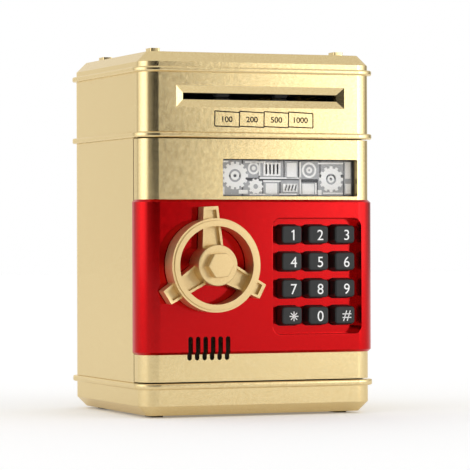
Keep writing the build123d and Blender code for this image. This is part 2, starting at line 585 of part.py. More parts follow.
def involute_gear(teeth, y, z, turn, x0, x1):
    """Spur gear across the X axis. One tooth points along turn, in degrees from +Y towards +Z."""
    pressure = math.radians(PRESSURE)
    pitch_r = MODULE * teeth / 2
    base_r = pitch_r * math.cos(pressure)
    tip_r = pitch_r + MODULE
    root_r = pitch_r - 1.25 * MODULE
    half_tooth = math.pi / (2 * teeth) - BACKLASH / (2 * pitch_r)
    roll = math.tan(pressure) - pressure
    start_r = max(base_r, root_r + 0.05)
    flank = []
    for i in range(4):
        radius = start_r + (tip_r - start_r) * i / 3
        spread = math.acos(base_r / radius)
        flank.append((radius, half_tooth + roll - (math.tan(spread) - spread)))
    points = []
    step = 2 * math.pi / teeth
    for n in range(teeth):
        middle = math.radians(turn) + n * step
        points.append((root_r, middle - flank[0][1]))
        points += [(radius, middle - angle) for radius, angle in flank]
        points += [(radius, middle + angle) for radius, angle in reversed(flank)]
        points.append((root_r, middle + flank[0][1]))
    corners = [(y + r * math.cos(a), z + r * math.sin(a)) for r, a in points]
    outline = make_face(Plane.YZ * Polyline(*corners, close=True))
    return Pos(x0, 0, 0) * extrude(outline, x1 - x0, dir=(1, 0, 0))


def motor_pinion():
    facing_train = MOTOR_ANGLE + 180.0
    x0 = GEAR_X + GEAR_T + 0.4
    gear = involute_gear(PINION_TEETH, MOTOR_Y, MOTOR_Z, facing_train + 180.0 / PINION_TEETH, x0, x0 + GEAR_T)
    shaft = rod_x(MOTOR_Y, MOTOR_Z, MOTOR_SHAFT_R, CHEEK_X1 + 1.9, x0)
    return gear + shaft + rod_x(MOTOR_Y, MOTOR_Z, MODULE * PINION_TEETH / 2 - 1.2, x0 - 0.6, x0 + GEAR_T)


def compound_gear():
    turn = TRAIN_ANGLE + 180.0 + 180.0 / SMALL_TEETH
    small = involute_gear(SMALL_TEETH, TRAIN_Y, TRAIN_Z, turn, GEAR_X, GEAR_X + GEAR_T + 0.4)
    x0 = GEAR_X + GEAR_T + 0.4
    big = involute_gear(BIG_TEETH, TRAIN_Y, TRAIN_Z, MOTOR_ANGLE, x0, x0 + GEAR_T)
    return small + big - rod_x(TRAIN_Y, TRAIN_Z, STUD_R + RUN, GEAR_X - 1, x0 + GEAR_T + 1)


def roller_gear():
    gear = involute_gear(ROLLER_TEETH, ROLLER_Y, FEED_Z, TRAIN_ANGLE, GEAR_X, GEAR_X + GEAR_T)
    return gear - rod_x(ROLLER_Y, FEED_Z, FEED_SHAFT_R + PRESS, GEAR_X - 1, GEAR_X + GEAR_T + 1)


def feed_shaft():
    return rod_x(ROLLER_Y, FEED_Z, FEED_SHAFT_R, CHEEK_X0 - CHEEK_T - 1.5, GEAR_X + GEAR_T + 0.2)


def rollers(z, radius, shaft_r):
    wheels = []
    for x in ROLLER_XS:
        tyre = rod_x(ROLLER_Y, z, radius, x - ROLLER_W / 2, x + ROLLER_W / 2)
        wheels.append(tyre - rod_x(ROLLER_Y, z, shaft_r + PRESS, x - ROLLER_W, x + ROLLER_W))
    return wheels


def pinch_shaft():
    return rod_x(ROLLER_Y, PINCH_Z, PINCH_SHAFT_R, CHEEK_X0 - CHEEK_T - 1.5, CHEEK_X1 + CHEEK_T + 1.5)


# --- door -----------------------------------------------------------------------------------------------
def grille_slots(y0, y1):
    slots = []
    for i in range(SLOT_COUNT):
        x = GRILLE_X + (i - (SLOT_COUNT - 1) / 2) * SLOT_PITCH
        slots.append(tile(x, GRILLE_Z0 + GRILLE_H / 2, SLOT_W, GRILLE_H, SLOT_W / 2 - 0.01, y0, y1))
    return slots


def plate_screw_spots():
    left = (PLATE_Z0 + 8, PLATE_Z1 - 7)
    return [(x, z) for x in (-HALF_W + 13, PAD_X - PAD_W / 2 - 6) for z in left]


def door_panel():
    outer = slab(DOOR_Z0, DOOR_Z1) & box(-BODY_W, BODY_W, -1, DOOR_D, DOOR_Z0 - 1, DOOR_Z1 + 1)
    outer -= box(HINGE_X, BODY_W, HINGE_Y, DOOR_D + 1, DOOR_Z0 - 1, DOOR_Z1 + 1)
    panel = outer - slab(DOOR_Z0 + WALL, DOOR_Z1 - WALL, -WALL)
    panel += rod_z(HINGE_X, HINGE_Y, BARREL_R, DOOR_Z0, DOOR_Z1)
    lap = PANE_LAP + WINDOW_WALL
    tunnel_back = WINDOW_DEPTH + PANE_T + PICTURE_T + RELIEF_H + FIT
    panel += tile(WINDOW_X, WINDOW_Z, WINDOW_W + 2 * lap, WINDOW_H + 2 * lap, 1.5, WALL / 2, tunnel_back)
    panel += rod_y(WHEEL_X, WHEEL_Z, SHAFT_BOSS_R, WALL / 2, CRANK_Y - FIT)
    for x, z in BOARD_POSTS:
        panel += rod_y(x, z, 2.6, WALL / 2, BOARD_Y)
    for x, z in COVER_SCREWS:
        panel += rod_y(x, z, 2.6, WALL / 2, FLANGE_Y)
    speaker_ring = rod_y(GRILLE_X, GRILLE_Z0 + GRILLE_H / 2, SPEAKER_R + FIT + 1.2, WALL / 2, WALL + 3.0)
    speaker_ring -= rod_y(GRILLE_X, GRILLE_Z0 + GRILLE_H / 2, SPEAKER_R + FIT, 0, WALL + 4.0)
    panel += speaker_ring & box(-BODY_W, BODY_W, -1, DOOR_D, DOOR_Z0, DOOR_Z1)
    panel -= tile(WINDOW_X, WINDOW_Z, WINDOW_W, WINDOW_H, 0.8, -1, WINDOW_DEPTH + 0.1)
    seat_w, seat_h = WINDOW_W + 2 * PANE_LAP, WINDOW_H + 2 * PANE_LAP
    panel -= tile(WINDOW_X, WINDOW_Z, seat_w, seat_h, 0.8, WINDOW_DEPTH, tunnel_back + 1)
    grow = 2 * (PAD_WALL + FIT)
    panel -= tile(PAD_X, PAD_Z, PAD_W + grow, PAD_H + grow, PAD_R + grow / 2, -1, BOARD_Y)
    for slot in grille_slots(-1, WALL + 1):
        panel -= slot
    panel -= rod_y(WHEEL_X, WHEEL_Z, SHAFT_R + RUN, -1, CRANK_Y)
    for x, z in plate_screw_spots():
        panel -= rod_y(x, z, 2.5 + FIT, -1, WALL + 1)
    for x, z in BOARD_POSTS:
        panel -= rod_y(x, z, SMALL_SCREW_R - 0.2 + PRESS, BOARD_Y - 6, BOARD_Y + 1)
    for x, z in COVER_SCREWS:
        panel -= rod_y(x, z, SMALL_SCREW_R + PRESS, FLANGE_Y - 7, FLANGE_Y + 1)
    panel -= rod_z(HINGE_X, HINGE_Y, PIN_R + PRESS, DOOR_Z0 - 1, DOOR_Z0 + PIN_IN_DOOR)
    panel -= rod_z(HINGE_X, HINGE_Y, PIN_R + PRESS, DOOR_Z1 - PIN_IN_DOOR, DOOR_Z1 + 1)
    return panel


def hinge_pins():
    low = rod_z(HINGE_X, HINGE_Y, PIN_R, BASE_TOP - PIN_IN_CASE, DOOR_Z0 + PIN_IN_DOOR)
    high = rod_z(HINGE_X, HINGE_Y, PIN_R, DOOR_Z1 - PIN_IN_DOOR, HEAD_Z + PIN_IN_CASE)
    return [low, high]


def door_plate():
    skin = slab(PLATE_Z0, PLATE_Z1, PLATE_T)
    ends = skin.edges().group_by(Axis.Z)
    skin = chamfer(ends[0] + ends[-1], PLATE_EDGE)
    skin -= slab(PLATE_Z0 - 1, PLATE_Z1 + 1)
    skin &= box(-BODY_W, 0, -BODY_D, PLATE_WRAP, PLATE_Z0, PLATE_Z1) + box(
        0, BODY_W, -BODY_D, HINGE_Y - PLATE_HINGE_SETBACK, PLATE_Z0, PLATE_Z1
    )
    corner = Pos(-HALF_W - PLATE_T, PLATE_WRAP, (PLATE_Z0 + PLATE_Z1) / 2) * Rot(0, 0, 45)
    bevel = PLATE_EDGE * 0.6 * math.sqrt(2)
    skin -= corner * Box(bevel, bevel, PLATE_H + 2)
    wall = 2 * PAD_WALL
    skin += tile(PAD_X, PAD_Z, PAD_W + wall, PAD_H + wall, PAD_R + PAD_WALL, -PLATE_T / 2, WELL_BACK)
    for x, z in plate_screw_spots():
        skin += rod_y(x, z, 2.5, -PLATE_T / 2, WALL)
    skin -= tile(PAD_X, PAD_Z, PAD_W, PAD_H, PAD_R, -PLATE_T - 1, WELL_FLOOR)
    for x, z in key_spots().values():
        play = 2 * KEY_PLAY
        skin -= tile(x, z, KEY_W + play, KEY_H + play, KEY_R + KEY_PLAY, WELL_FLOOR - 1, WELL_BACK + 1)
    for slot in grille_slots(-PLATE_T - 1, 1):
        skin -= slot
    skin -= rod_y(WHEEL_X, WHEEL_Z, SHAFT_R + 2 * FIT, -PLATE_T - 1, 1)
    for x, z in plate_screw_spots():
        skin -= rod_y(x, z, SMALL_SCREW_R + PRESS, -PLATE_T / 3, WALL + 1)
    return skin


def plate_screws():
    return [
        screw_y(x, z, SMALL_SCREW_R, 2.5 + 2 * FIT, SMALL_HEAD_H, WALL, -PLATE_T / 3)
        for x, z in plate_screw_spots()
    ]


def key_spots():
    """Name and place of each key, as on a telephone."""
    names = (("1", "2", "3"), ("4", "5", "6"), ("7", "8", "9"), ("star", "0", "hash"))
    spots = {}
    for row, labels in enumerate(names):
        for column, label in enumerate(labels):
            spots[label] = (KEY_X + (column - 1) * KEY_PITCH_X, KEY_Z + (1.5 - row) * KEY_PITCH_Z)
    return spots


def key_cap(x, z):
    top = KEY_SINK - PLATE_T
    foot = facing(WELL_FLOOR) * Pos(x, z) * RectangleRounded(KEY_W, KEY_H, KEY_R)
    lean = 2 * KEY_DRAFT
    face = facing(top) * Pos(x, z) * RectangleRounded(KEY_W - lean, KEY_H - lean, KEY_R - KEY_DRAFT / 2)
    cap = loft([foot, face], ruled=True)
    cap = fillet(cap.edges().group_by(Axis.Y)[0], KEY_EDGE)
    cap += tile(x, z, KEY_W, KEY_H, KEY_R, WELL_FLOOR, KEY_LIP_Y + 0.1)
    lip = 2 * KEY_LIP
    return cap + tile(x, z, KEY_W + lip, KEY_H + lip, KEY_R + KEY_LIP, KEY_LIP_Y, KEY_LIP_Y + KEY_LIP_T)


def key_mat():
    margin = 0.4
    mat = box(BOARD_X0 + margin, BOARD_X1 - margin, MAT_Y + MAT_PAD_T, BOARD_Y, BOARD_Z0 + 3, BOARD_Z1 - 3)
    for x, z in key_spots().values():
        mat += rod_y(x, z, 3.6, MAT_Y, MAT_Y + MAT_PAD_T + 0.1)
    return mat


def circuit_board():
    board = box(BOARD_X0, BOARD_X1, BOARD_Y, BOARD_Y + BOARD_T, BOARD_Z0 - 3, BOARD_Z1 + 3)
    for x, z in BOARD_POSTS:
        board -= rod_y(x, z, SMALL_SCREW_R + 0.1, BOARD_Y - 1, BOARD_Y + BOARD_T + 1)
    chip_y = BOARD_Y + BOARD_T
    board += box(PAD_X - 8, PAD_X + 8, chip_y, chip_y + 1.6, PAD_Z - 6, PAD_Z + 6)
    board += rod_y(BOARD_X0 + 10, BOARD_Z0 + 12, 3.0, chip_y, chip_y + 6.0)
    board += rod_y(BOARD_X0 + 18, BOARD_Z0 + 12, 3.0, chip_y, chip_y + 6.0)
    board += box(BOARD_X1 - 14, BOARD_X1 - 4, chip_y, chip_y + 5.0, BOARD_Z1 - 8, BOARD_Z1 - 3)
    return board


def board_screws():
    seat = BOARD_Y + BOARD_T
    return [screw_y(x, z, SMALL_SCREW_R - 0.2, 2.0, 1.2, seat, BOARD_Y - 5) for x, z in BOARD_POSTS]


def speaker():
    z = GRILLE_Z0 + GRILLE_H / 2
    y0 = WALL + FIT
    can = rod_y(GRILLE_X, z, SPEAKER_R, y0, y0 + 1.6)
    can += rod_y(GRILLE_X, z, SPEAKER_R * 0.55, y0 + 1.6, y0 + SPEAKER_T)
    return can - Pos(GRILLE_X, y0, z) * Rot(-90, 0, 0) * Solid.make_cone(SPEAKER_R - 1.5, 3.0, 1.2)


def window_pane():
    w, h = WINDOW_W + 2 * PANE_LAP - FIT, WINDOW_H + 2 * PANE_LAP - FIT
    return tile(WINDOW_X, WINDOW_Z, w, h, 0.7, WINDOW_DEPTH + 0.1, WINDOW_DEPTH + PANE_T)


def toothed_disc(x, z, r, teeth, hole, y0, y1):
    """Flat wheel with square teeth, seen from the front."""
    disc = rod_y(x, z, r * 0.84, y0, y1)
    for n in range(teeth):
        tooth = Pos(x, (y0 + y1) / 2, z) * Rot(0, 360.0 * n / teeth, 0) * Pos(r * 0.82, 0, 0)
        disc += tooth * Box(r * 0.36, y1 - y0, r * 0.3)
    return disc - rod_y(x, z, hole, y0 - 1, y1 + 1)


def window_picture():
    """Card behind the pane with a made-up machine in low relief."""
    y1 = WINDOW_DEPTH + PANE_T + RELIEF_H
    back = y1 + PICTURE_T
    y0 = y1 - RELIEF_H + 0.1
    left, mid = WINDOW_X - WINDOW_W / 2, WINDOW_Z
    card = tile(WINDOW_X, mid, WINDOW_W + 2 * PANE_LAP - FIT, WINDOW_H + 2 * PANE_LAP - FIT, 0.7, y1, back)
    relief = [
        toothed_disc(left + 11.0, mid + 1.0, 7.6, 12, 2.4, y0, y1 + 0.1),
        toothed_disc(left + 24.0, mid - 3.8, 5.0, 8, 1.6, y0, y1 + 0.1),
        rod_y(left + 24.0, mid + 5.6, 2.6, y0, y1 + 0.1) - rod_y(left + 24.0, mid + 5.6, 1.2, y0 - 1, y1 + 1),
        toothed_disc(left + 62.5, mid + 0.6, 7.2, 12, 3.4, y0, y1 + 0.1),
        rod_y(left + 49.5, mid + 4.4, 4.0, y0, y1 + 0.1) - rod_y(left + 49.5, mid + 4.4, 2.2, y0 - 1, y1 + 1),
        box(left + 31.0, left + 42.0, y0, y1 + 0.1, mid + 1.4, mid + 7.6),
        box(left + 45.5, left + 53.5, y0, y1 + 0.1, mid - 8.0, mid - 2.6),
        box(left + 70.6, left + 74.4, y0, y1 + 0.1, mid - 7.6, mid + 7.6),
    ]
    for x in (31.5, 34.3, 37.1, 39.9):
        relief.append(box(left + x, left + x + 1.5, y0, y1 + 0.1, mid - 7.8, mid - 1.2))
    for shape in relief:
        card += shape
    return card


def door_back_cover():
    """Tray over the mechanism: a flange that fills the door's rim and a box that stands into the safe."""
    left, right = -HALF_W + WALL + FIT, HINGE_X - BARREL_R - FIT
    cover = box(left, right, FLANGE_Y, DOOR_D, DOOR_Z0 + WALL + FIT, DOOR_Z1 - WALL - FIT)
    tub = box(COVER_X0, COVER_X1, FLANGE_Y, COVER_DEPTH, COVER_Z0, COVER_Z1)
    cover += fillet(tub.edges().filter_by(Axis.Y) + tub.edges().group_by(Axis.Y)[-1], 1.2)
    x0, x1, z0, z1 = COVER_X0 + COVER_T, COVER_X1 - COVER_T, COVER_Z0 + COVER_T, COVER_Z1 - COVER_T
    cover -= box(x0, x1, FLANGE_Y - 1, COVER_BACK, z0, z1)
    track_x0, track_x1 = COVER_X0 + 0.4, BOLT_X1 + LATCH_THROW
    track_y = BOLT_Y + BOLT_T + FIT
    high, low = BOLT_Z1 + FIT, BOLT_Z0 - FIT
    cover += box(track_x0, track_x1, BOLT_Y, COVER_BACK + 0.2, high, high + COVER_T)
    cover += box(track_x0, track_x1, track_y, COVER_BACK + 0.2, WHEEL_Z + 1, high + COVER_T)
    cover += box(WHEEL_X + 2, track_x1, BOLT_Y, COVER_BACK + 0.2, low - COVER_T, low)
    cover += box(track_x0, PLUNGER_X - YOKE_W / 2 - FIT, BOLT_Y, COVER_BACK + 0.2, low - COVER_T, low)
    cover -= box(COVER_X0 - 1, x0 + 1, BOLT_Y - FIT, track_y, low, high)
    for x, z in COVER_SCREWS:
        cover -= rod_y(x, z, SMALL_SCREW_R + FIT, FLANGE_Y - 1, DOOR_D + 1)
    return cover


def cover_screws():
    tip = FLANGE_Y - 6
    return [screw_y(x, z, SMALL_SCREW_R, SMALL_HEAD_R, SMALL_HEAD_H, DOOR_D, tip) for x, z in COVER_SCREWS]


# --- handwheel and latch --------------------------------------------------------------------------------
def spoke():
    """Bar that narrows towards its tip, with a channel between two ribs in its front, along +X."""
    front, length = RIM_BACK - SPOKE_T, SPOKE_REACH
    half_root, half_tip = SPOKE_W / 2, SPOKE_TIP_W / 2
    outline = Polygon((0, -half_root), (length, -half_tip), (length, half_tip), (0, half_root), align=None)
    bar = extrude(facing(RIM_BACK) * outline, SPOKE_T)
    end = length - SPOKE_RIB
    half_root, half_tip = half_root - SPOKE_RIB, half_tip - SPOKE_RIB
    hollow = Polygon((0, -half_root), (end, -half_tip), (end, half_tip), (0, half_root), align=None)
    return bar - extrude(facing(front + SPOKE_CHANNEL_T) * hollow, SPOKE_CHANNEL_T + 1)


def handwheel():
    band_front = RIM_FRONT + RIM_STEP
    wheel = rod_y(0, 0, RIM_R, band_front, RIM_BACK)
    face = rod_y(0, 0, RIM_FACE_R, RIM_FRONT, RIM_BACK)
    wheel += chamfer(face.edges().group_by(Axis.Y)[0], WHEEL_EDGE / 2)
    wheel -= rod_y(0, 0, RIM_BORE_R, RIM_FRONT - 1, RIM_BACK + 1)
    for angle in SPOKE_ANGLES:
        wheel += Rot(0, -angle, 0) * spoke()
    hub = rod_y(0, 0, HUB_R, HUB_FRONT, -PLATE_T - HUB_GAP)
    wheel += chamfer(hub.edges().group_by(Axis.Y)[0], WHEEL_EDGE)
    wheel -= rod_y(0, 0, HEX_SHANK_R + PRESS, HUB_FRONT - 1, HUB_FRONT + HEX_SHANK_L + 0.2)
    wheel -= rod_y(0, 0, SHAFT_R + PRESS, HUB_FRONT + HEX_SHANK_L + 0.2, 1)
    return Pos(WHEEL_X, 0, WHEEL_Z) * wheel


def hex_cap():
    turn = SPOKE_ANGLES[0] - 90
    outline = facing(HUB_FRONT) * Pos(WHEEL_X, WHEEL_Z) * Rot(0, 0, turn) * RegularPolygon(HEX_R, 6)
    head = extrude(outline, HEX_H)
    head = chamfer(head.edges().group_by(Axis.Y)[0], HEX_EDGE)
    return head + rod_y(WHEEL_X, WHEEL_Z, HEX_SHANK_R, HUB_FRONT - 0.5, HUB_FRONT + HEX_SHANK_L)


def wheel_shaft():
    return rod_y(WHEEL_X, WHEEL_Z, SHAFT_R, HUB_FRONT + HEX_SHANK_L + FIT, BOLT_Y - FIT)


def crank_disc():
    disc = rod_y(WHEEL_X, WHEEL_Z, CRANK_DISC_R, CRANK_Y, CRANK_Y + CRANK_DISC_T)
    disc -= rod_y(WHEEL_X, WHEEL_Z, SHAFT_R + PRESS, CRANK_Y - 1, BOLT_Y)
    return disc + rod_y(CRANK_PIN_X, CRANK_PIN_Z, CRANK_PIN_R, CRANK_Y + 1, BOLT_Y + BOLT_T)


def latch_bolt():
    bolt = box(BOLT_X0, BOLT_X1, BOLT_Y, BOLT_Y + BOLT_T, BOLT_Z0, BOLT_Z1)
    nose = bolt.edges().filter_by(Axis.Z).sort_by(Axis.X)[0:2]
    bolt = chamfer(nose, 0.8)
    half = CRANK_PIN_R + PIN_SLOT_PLAY
    low = CRANK_PIN_Z - half - 0.1
    high = WHEEL_Z + CRANK_ARM + half + 0.1
    y0, y1 = BOLT_Y - 1, BOLT_Y + BOLT_T + 1
    bolt -= tile(CRANK_PIN_X, (low + high) / 2, 2 * half, high - low, half - 0.01, y0, y1)
    notch = PLUNGER_R + FIT
    for x in (PLUNGER_X, PLUNGER_X + LATCH_THROW):
        bolt -= box(x - notch, x + notch, y0, y1, BOLT_Z0 - 1, BOLT_Z0 + PLUNGER_TRAVEL + FIT)
    return bolt


def lock_plunger():
    return rod_z(PLUNGER_X, PLUNGER_Y, PLUNGER_R, PLUNGER_TOP - PLUNGER_L, PLUNGER_TOP)


def coil_ends():
    top = PLUNGER_TOP - COIL_DROP
    return top - COIL_L, top


def solenoid_frame():
    low, high = coil_ends()
    x0, x1 = PLUNGER_X - YOKE_W / 2, PLUNGER_X + YOKE_W / 2
    y0 = PLUNGER_Y - COIL_R
    yoke = box(x0, x1, y0, COVER_BACK, high, high + YOKE_T)
    yoke += box(x0, x1, y0, COVER_BACK, low - YOKE_T, low)
    yoke += box(x0, x1, COVER_BACK - 0.6, COVER_BACK, low - YOKE_T, high + YOKE_T)
    return yoke - rod_z(PLUNGER_X, PLUNGER_Y, PLUNGER_R + RUN, low - 5, high + 5)


def solenoid_coil():
    low, high = coil_ends()
    radius = min(COIL_R, COVER_BACK - 0.6 - PLUNGER_Y)
    coil = rod_z(PLUNGER_X, PLUNGER_Y, radius, low, high)
    return coil - rod_z(PLUNGER_X, PLUNGER_Y, PLUNGER_R + RUN, low - 1, high + 1)


# --- out ------------------------------------------------------------------------------------------------
NODES = {
    "base_tray": base_tray,
    "feet": feet,
    "battery_cover": battery_cover,
    "battery_cover_screw": battery_cover_screw,
    "aa_cells": aa_cells,
    "battery_contacts": battery_contacts,
    "cavity_floor": cavity_floor,
    "case_screws": case_screws,
    "case_body": case_body,
    "keeper": keeper,
    "keeper_screws": keeper_screws,
    "head_shell": head_shell,
    "head_screws": head_screws,
    "top_cover": top_cover,
    "coin_chute": coin_chute,
    "feeder_frame": feeder_frame,
    "feeder_screws": feeder_screws,
    "feed_motor": feed_motor,
    "motor_pinion": motor_pinion,
    "compound_gear": compound_gear,
    "roller_gear": roller_gear,
    "feed_shaft": feed_shaft,
    "feed_rollers": lambda: rollers(FEED_Z, FEED_R, FEED_SHAFT_R),
    "pinch_shaft": pinch_shaft,
    "pinch_rollers": lambda: rollers(PINCH_Z, PINCH_R, PINCH_SHAFT_R),
    "door_panel": door_panel,
    "hinge_pins": hinge_pins,
    "door_plate": door_plate,
    "plate_screws": plate_screws,
    "key_mat": key_mat,
    "circuit_board": circuit_board,
    "board_screws": board_screws,
    "speaker": speaker,
    "window_pane": window_pane,
    "window_picture": window_picture,
    "door_back_cover": door_back_cover,
    "cover_screws": cover_screws,
    "handwheel": handwheel,
    "hex_cap": hex_cap,
    "wheel_shaft": wheel_shaft,
    "crank_disc": crank_disc,
    "latch_bolt": latch_bolt,
    "lock_plunger": lock_plunger,
    "solenoid_frame": solenoid_frame,
    "solenoid_coil": solenoid_coil,
}


def save(name, shape):
    """Write one piece, or a group of like pieces, moved to the origin at the middle of the footprint."""
    solids = shape if isinstance(shape, list) else [shape]
    solids = [Pos(0, FRONT_Y, 0) * solid for solid in solids]
    export_step(solids[0] if len(solids) == 1 else Compound(children=solids), "parts/" + name + ".step")


os.makedirs("parts", exist_ok=True)
for node, make in NODES.items():
    save(node, make())
for label, (key_x, key_z) in key_spots().items():
    save("key_" + label, key_cap(key_x, key_z))
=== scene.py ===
"""Dresses the toy safe bank: gold shells, red door plate, handwheel, keys, printed values and window."""
import json
import math

import bmesh
import bpy
from mathutils import Matrix, Vector


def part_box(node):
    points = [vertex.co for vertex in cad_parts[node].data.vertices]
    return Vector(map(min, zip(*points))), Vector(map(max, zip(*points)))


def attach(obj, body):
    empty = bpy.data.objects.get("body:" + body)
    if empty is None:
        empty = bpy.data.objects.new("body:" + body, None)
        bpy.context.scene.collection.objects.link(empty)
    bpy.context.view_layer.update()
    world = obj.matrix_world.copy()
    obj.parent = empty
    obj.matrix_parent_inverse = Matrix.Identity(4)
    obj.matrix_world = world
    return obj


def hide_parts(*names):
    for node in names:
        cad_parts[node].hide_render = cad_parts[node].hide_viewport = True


bl_info = {
    "name": "Toy Safe Bank",
    "version": (1, 0, 0),
    "blender": (4, 5, 0),
    "location": "View3D > Sidebar > Toy Safe",
    "description": "Models the visible pieces of a toy safe bank round its packed frame",
    "category": "Object",
}

MM = 0.001
OVER = MM  # how far a cutter reaches past what it cuts
CLOSE = 1e-6  # how near a point is when it counts as in a plane

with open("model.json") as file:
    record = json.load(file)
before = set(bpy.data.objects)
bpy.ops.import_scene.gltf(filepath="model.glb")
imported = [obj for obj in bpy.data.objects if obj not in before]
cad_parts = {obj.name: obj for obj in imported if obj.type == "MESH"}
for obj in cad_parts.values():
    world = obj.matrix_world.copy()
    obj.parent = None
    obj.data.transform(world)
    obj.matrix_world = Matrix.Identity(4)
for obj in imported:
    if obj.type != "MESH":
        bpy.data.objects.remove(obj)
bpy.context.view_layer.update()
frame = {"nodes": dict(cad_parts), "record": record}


def centre_of(node, *axes):
    """Middle of a node's box, along the axes named."""
    low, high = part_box(node)
    return tuple((getattr(low, axis) + getattr(high, axis)) / 2 for axis in axes)


# Places that the frame gives, in metres.
DOOR_LOW, DOOR_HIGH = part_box("door_panel")
FRONT = DOOR_LOW.y
HALF_W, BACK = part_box("case_body")[1].x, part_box("case_body")[1].y
BASE_Z, BASE_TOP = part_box("base_tray")[0].z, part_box("case_body")[0].z
HEAD_Z, ROOF_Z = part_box("head_shell")[0].z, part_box("head_shell")[1].z
PLATE_LOW, PLATE_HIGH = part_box("door_plate")
PANE_LOW, PANE_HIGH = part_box("window_pane")
PICTURE_LOW, PICTURE_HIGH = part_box("window_picture")
NOTE_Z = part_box("feed_rollers")[1].z
WHEEL_X, WHEEL_Z = centre_of("wheel_shaft", "x", "z")
HINGE = centre_of("hinge_pins", "x", "y")

# Fits that follow from the works inside, in metres.
PIN_BORE, PIN_DEEP = 1.25 * MM, 4.3 * MM  # hinge pin's hole in base and head
LAP = 2.6 * MM  # rim that carries the window and the battery cover
FIT = 0.3 * MM  # play between two pieces that go together

KEY_NAMES = ("1", "2", "3", "4", "5", "6", "7", "8", "9", "star", "0", "hash")
SPOKE_ANGLES = [math.radians(93.0 + 120.0 * i) for i in range(3)]


# --- sizes and colours a user may change ----------------------------------------------------------------
def length(name, description, millimetres):
    """Length property with its default in millimetres."""
    return bpy.props.FloatProperty(
        name=name, description=description, default=millimetres * MM, unit="LENGTH", subtype="DISTANCE",
        precision=5,
    )


def paint(name, description, value):
    """Colour property, kept as a hex value."""
    return bpy.props.StringProperty(name=name, description=description + ", as sRGB hex", default=value)


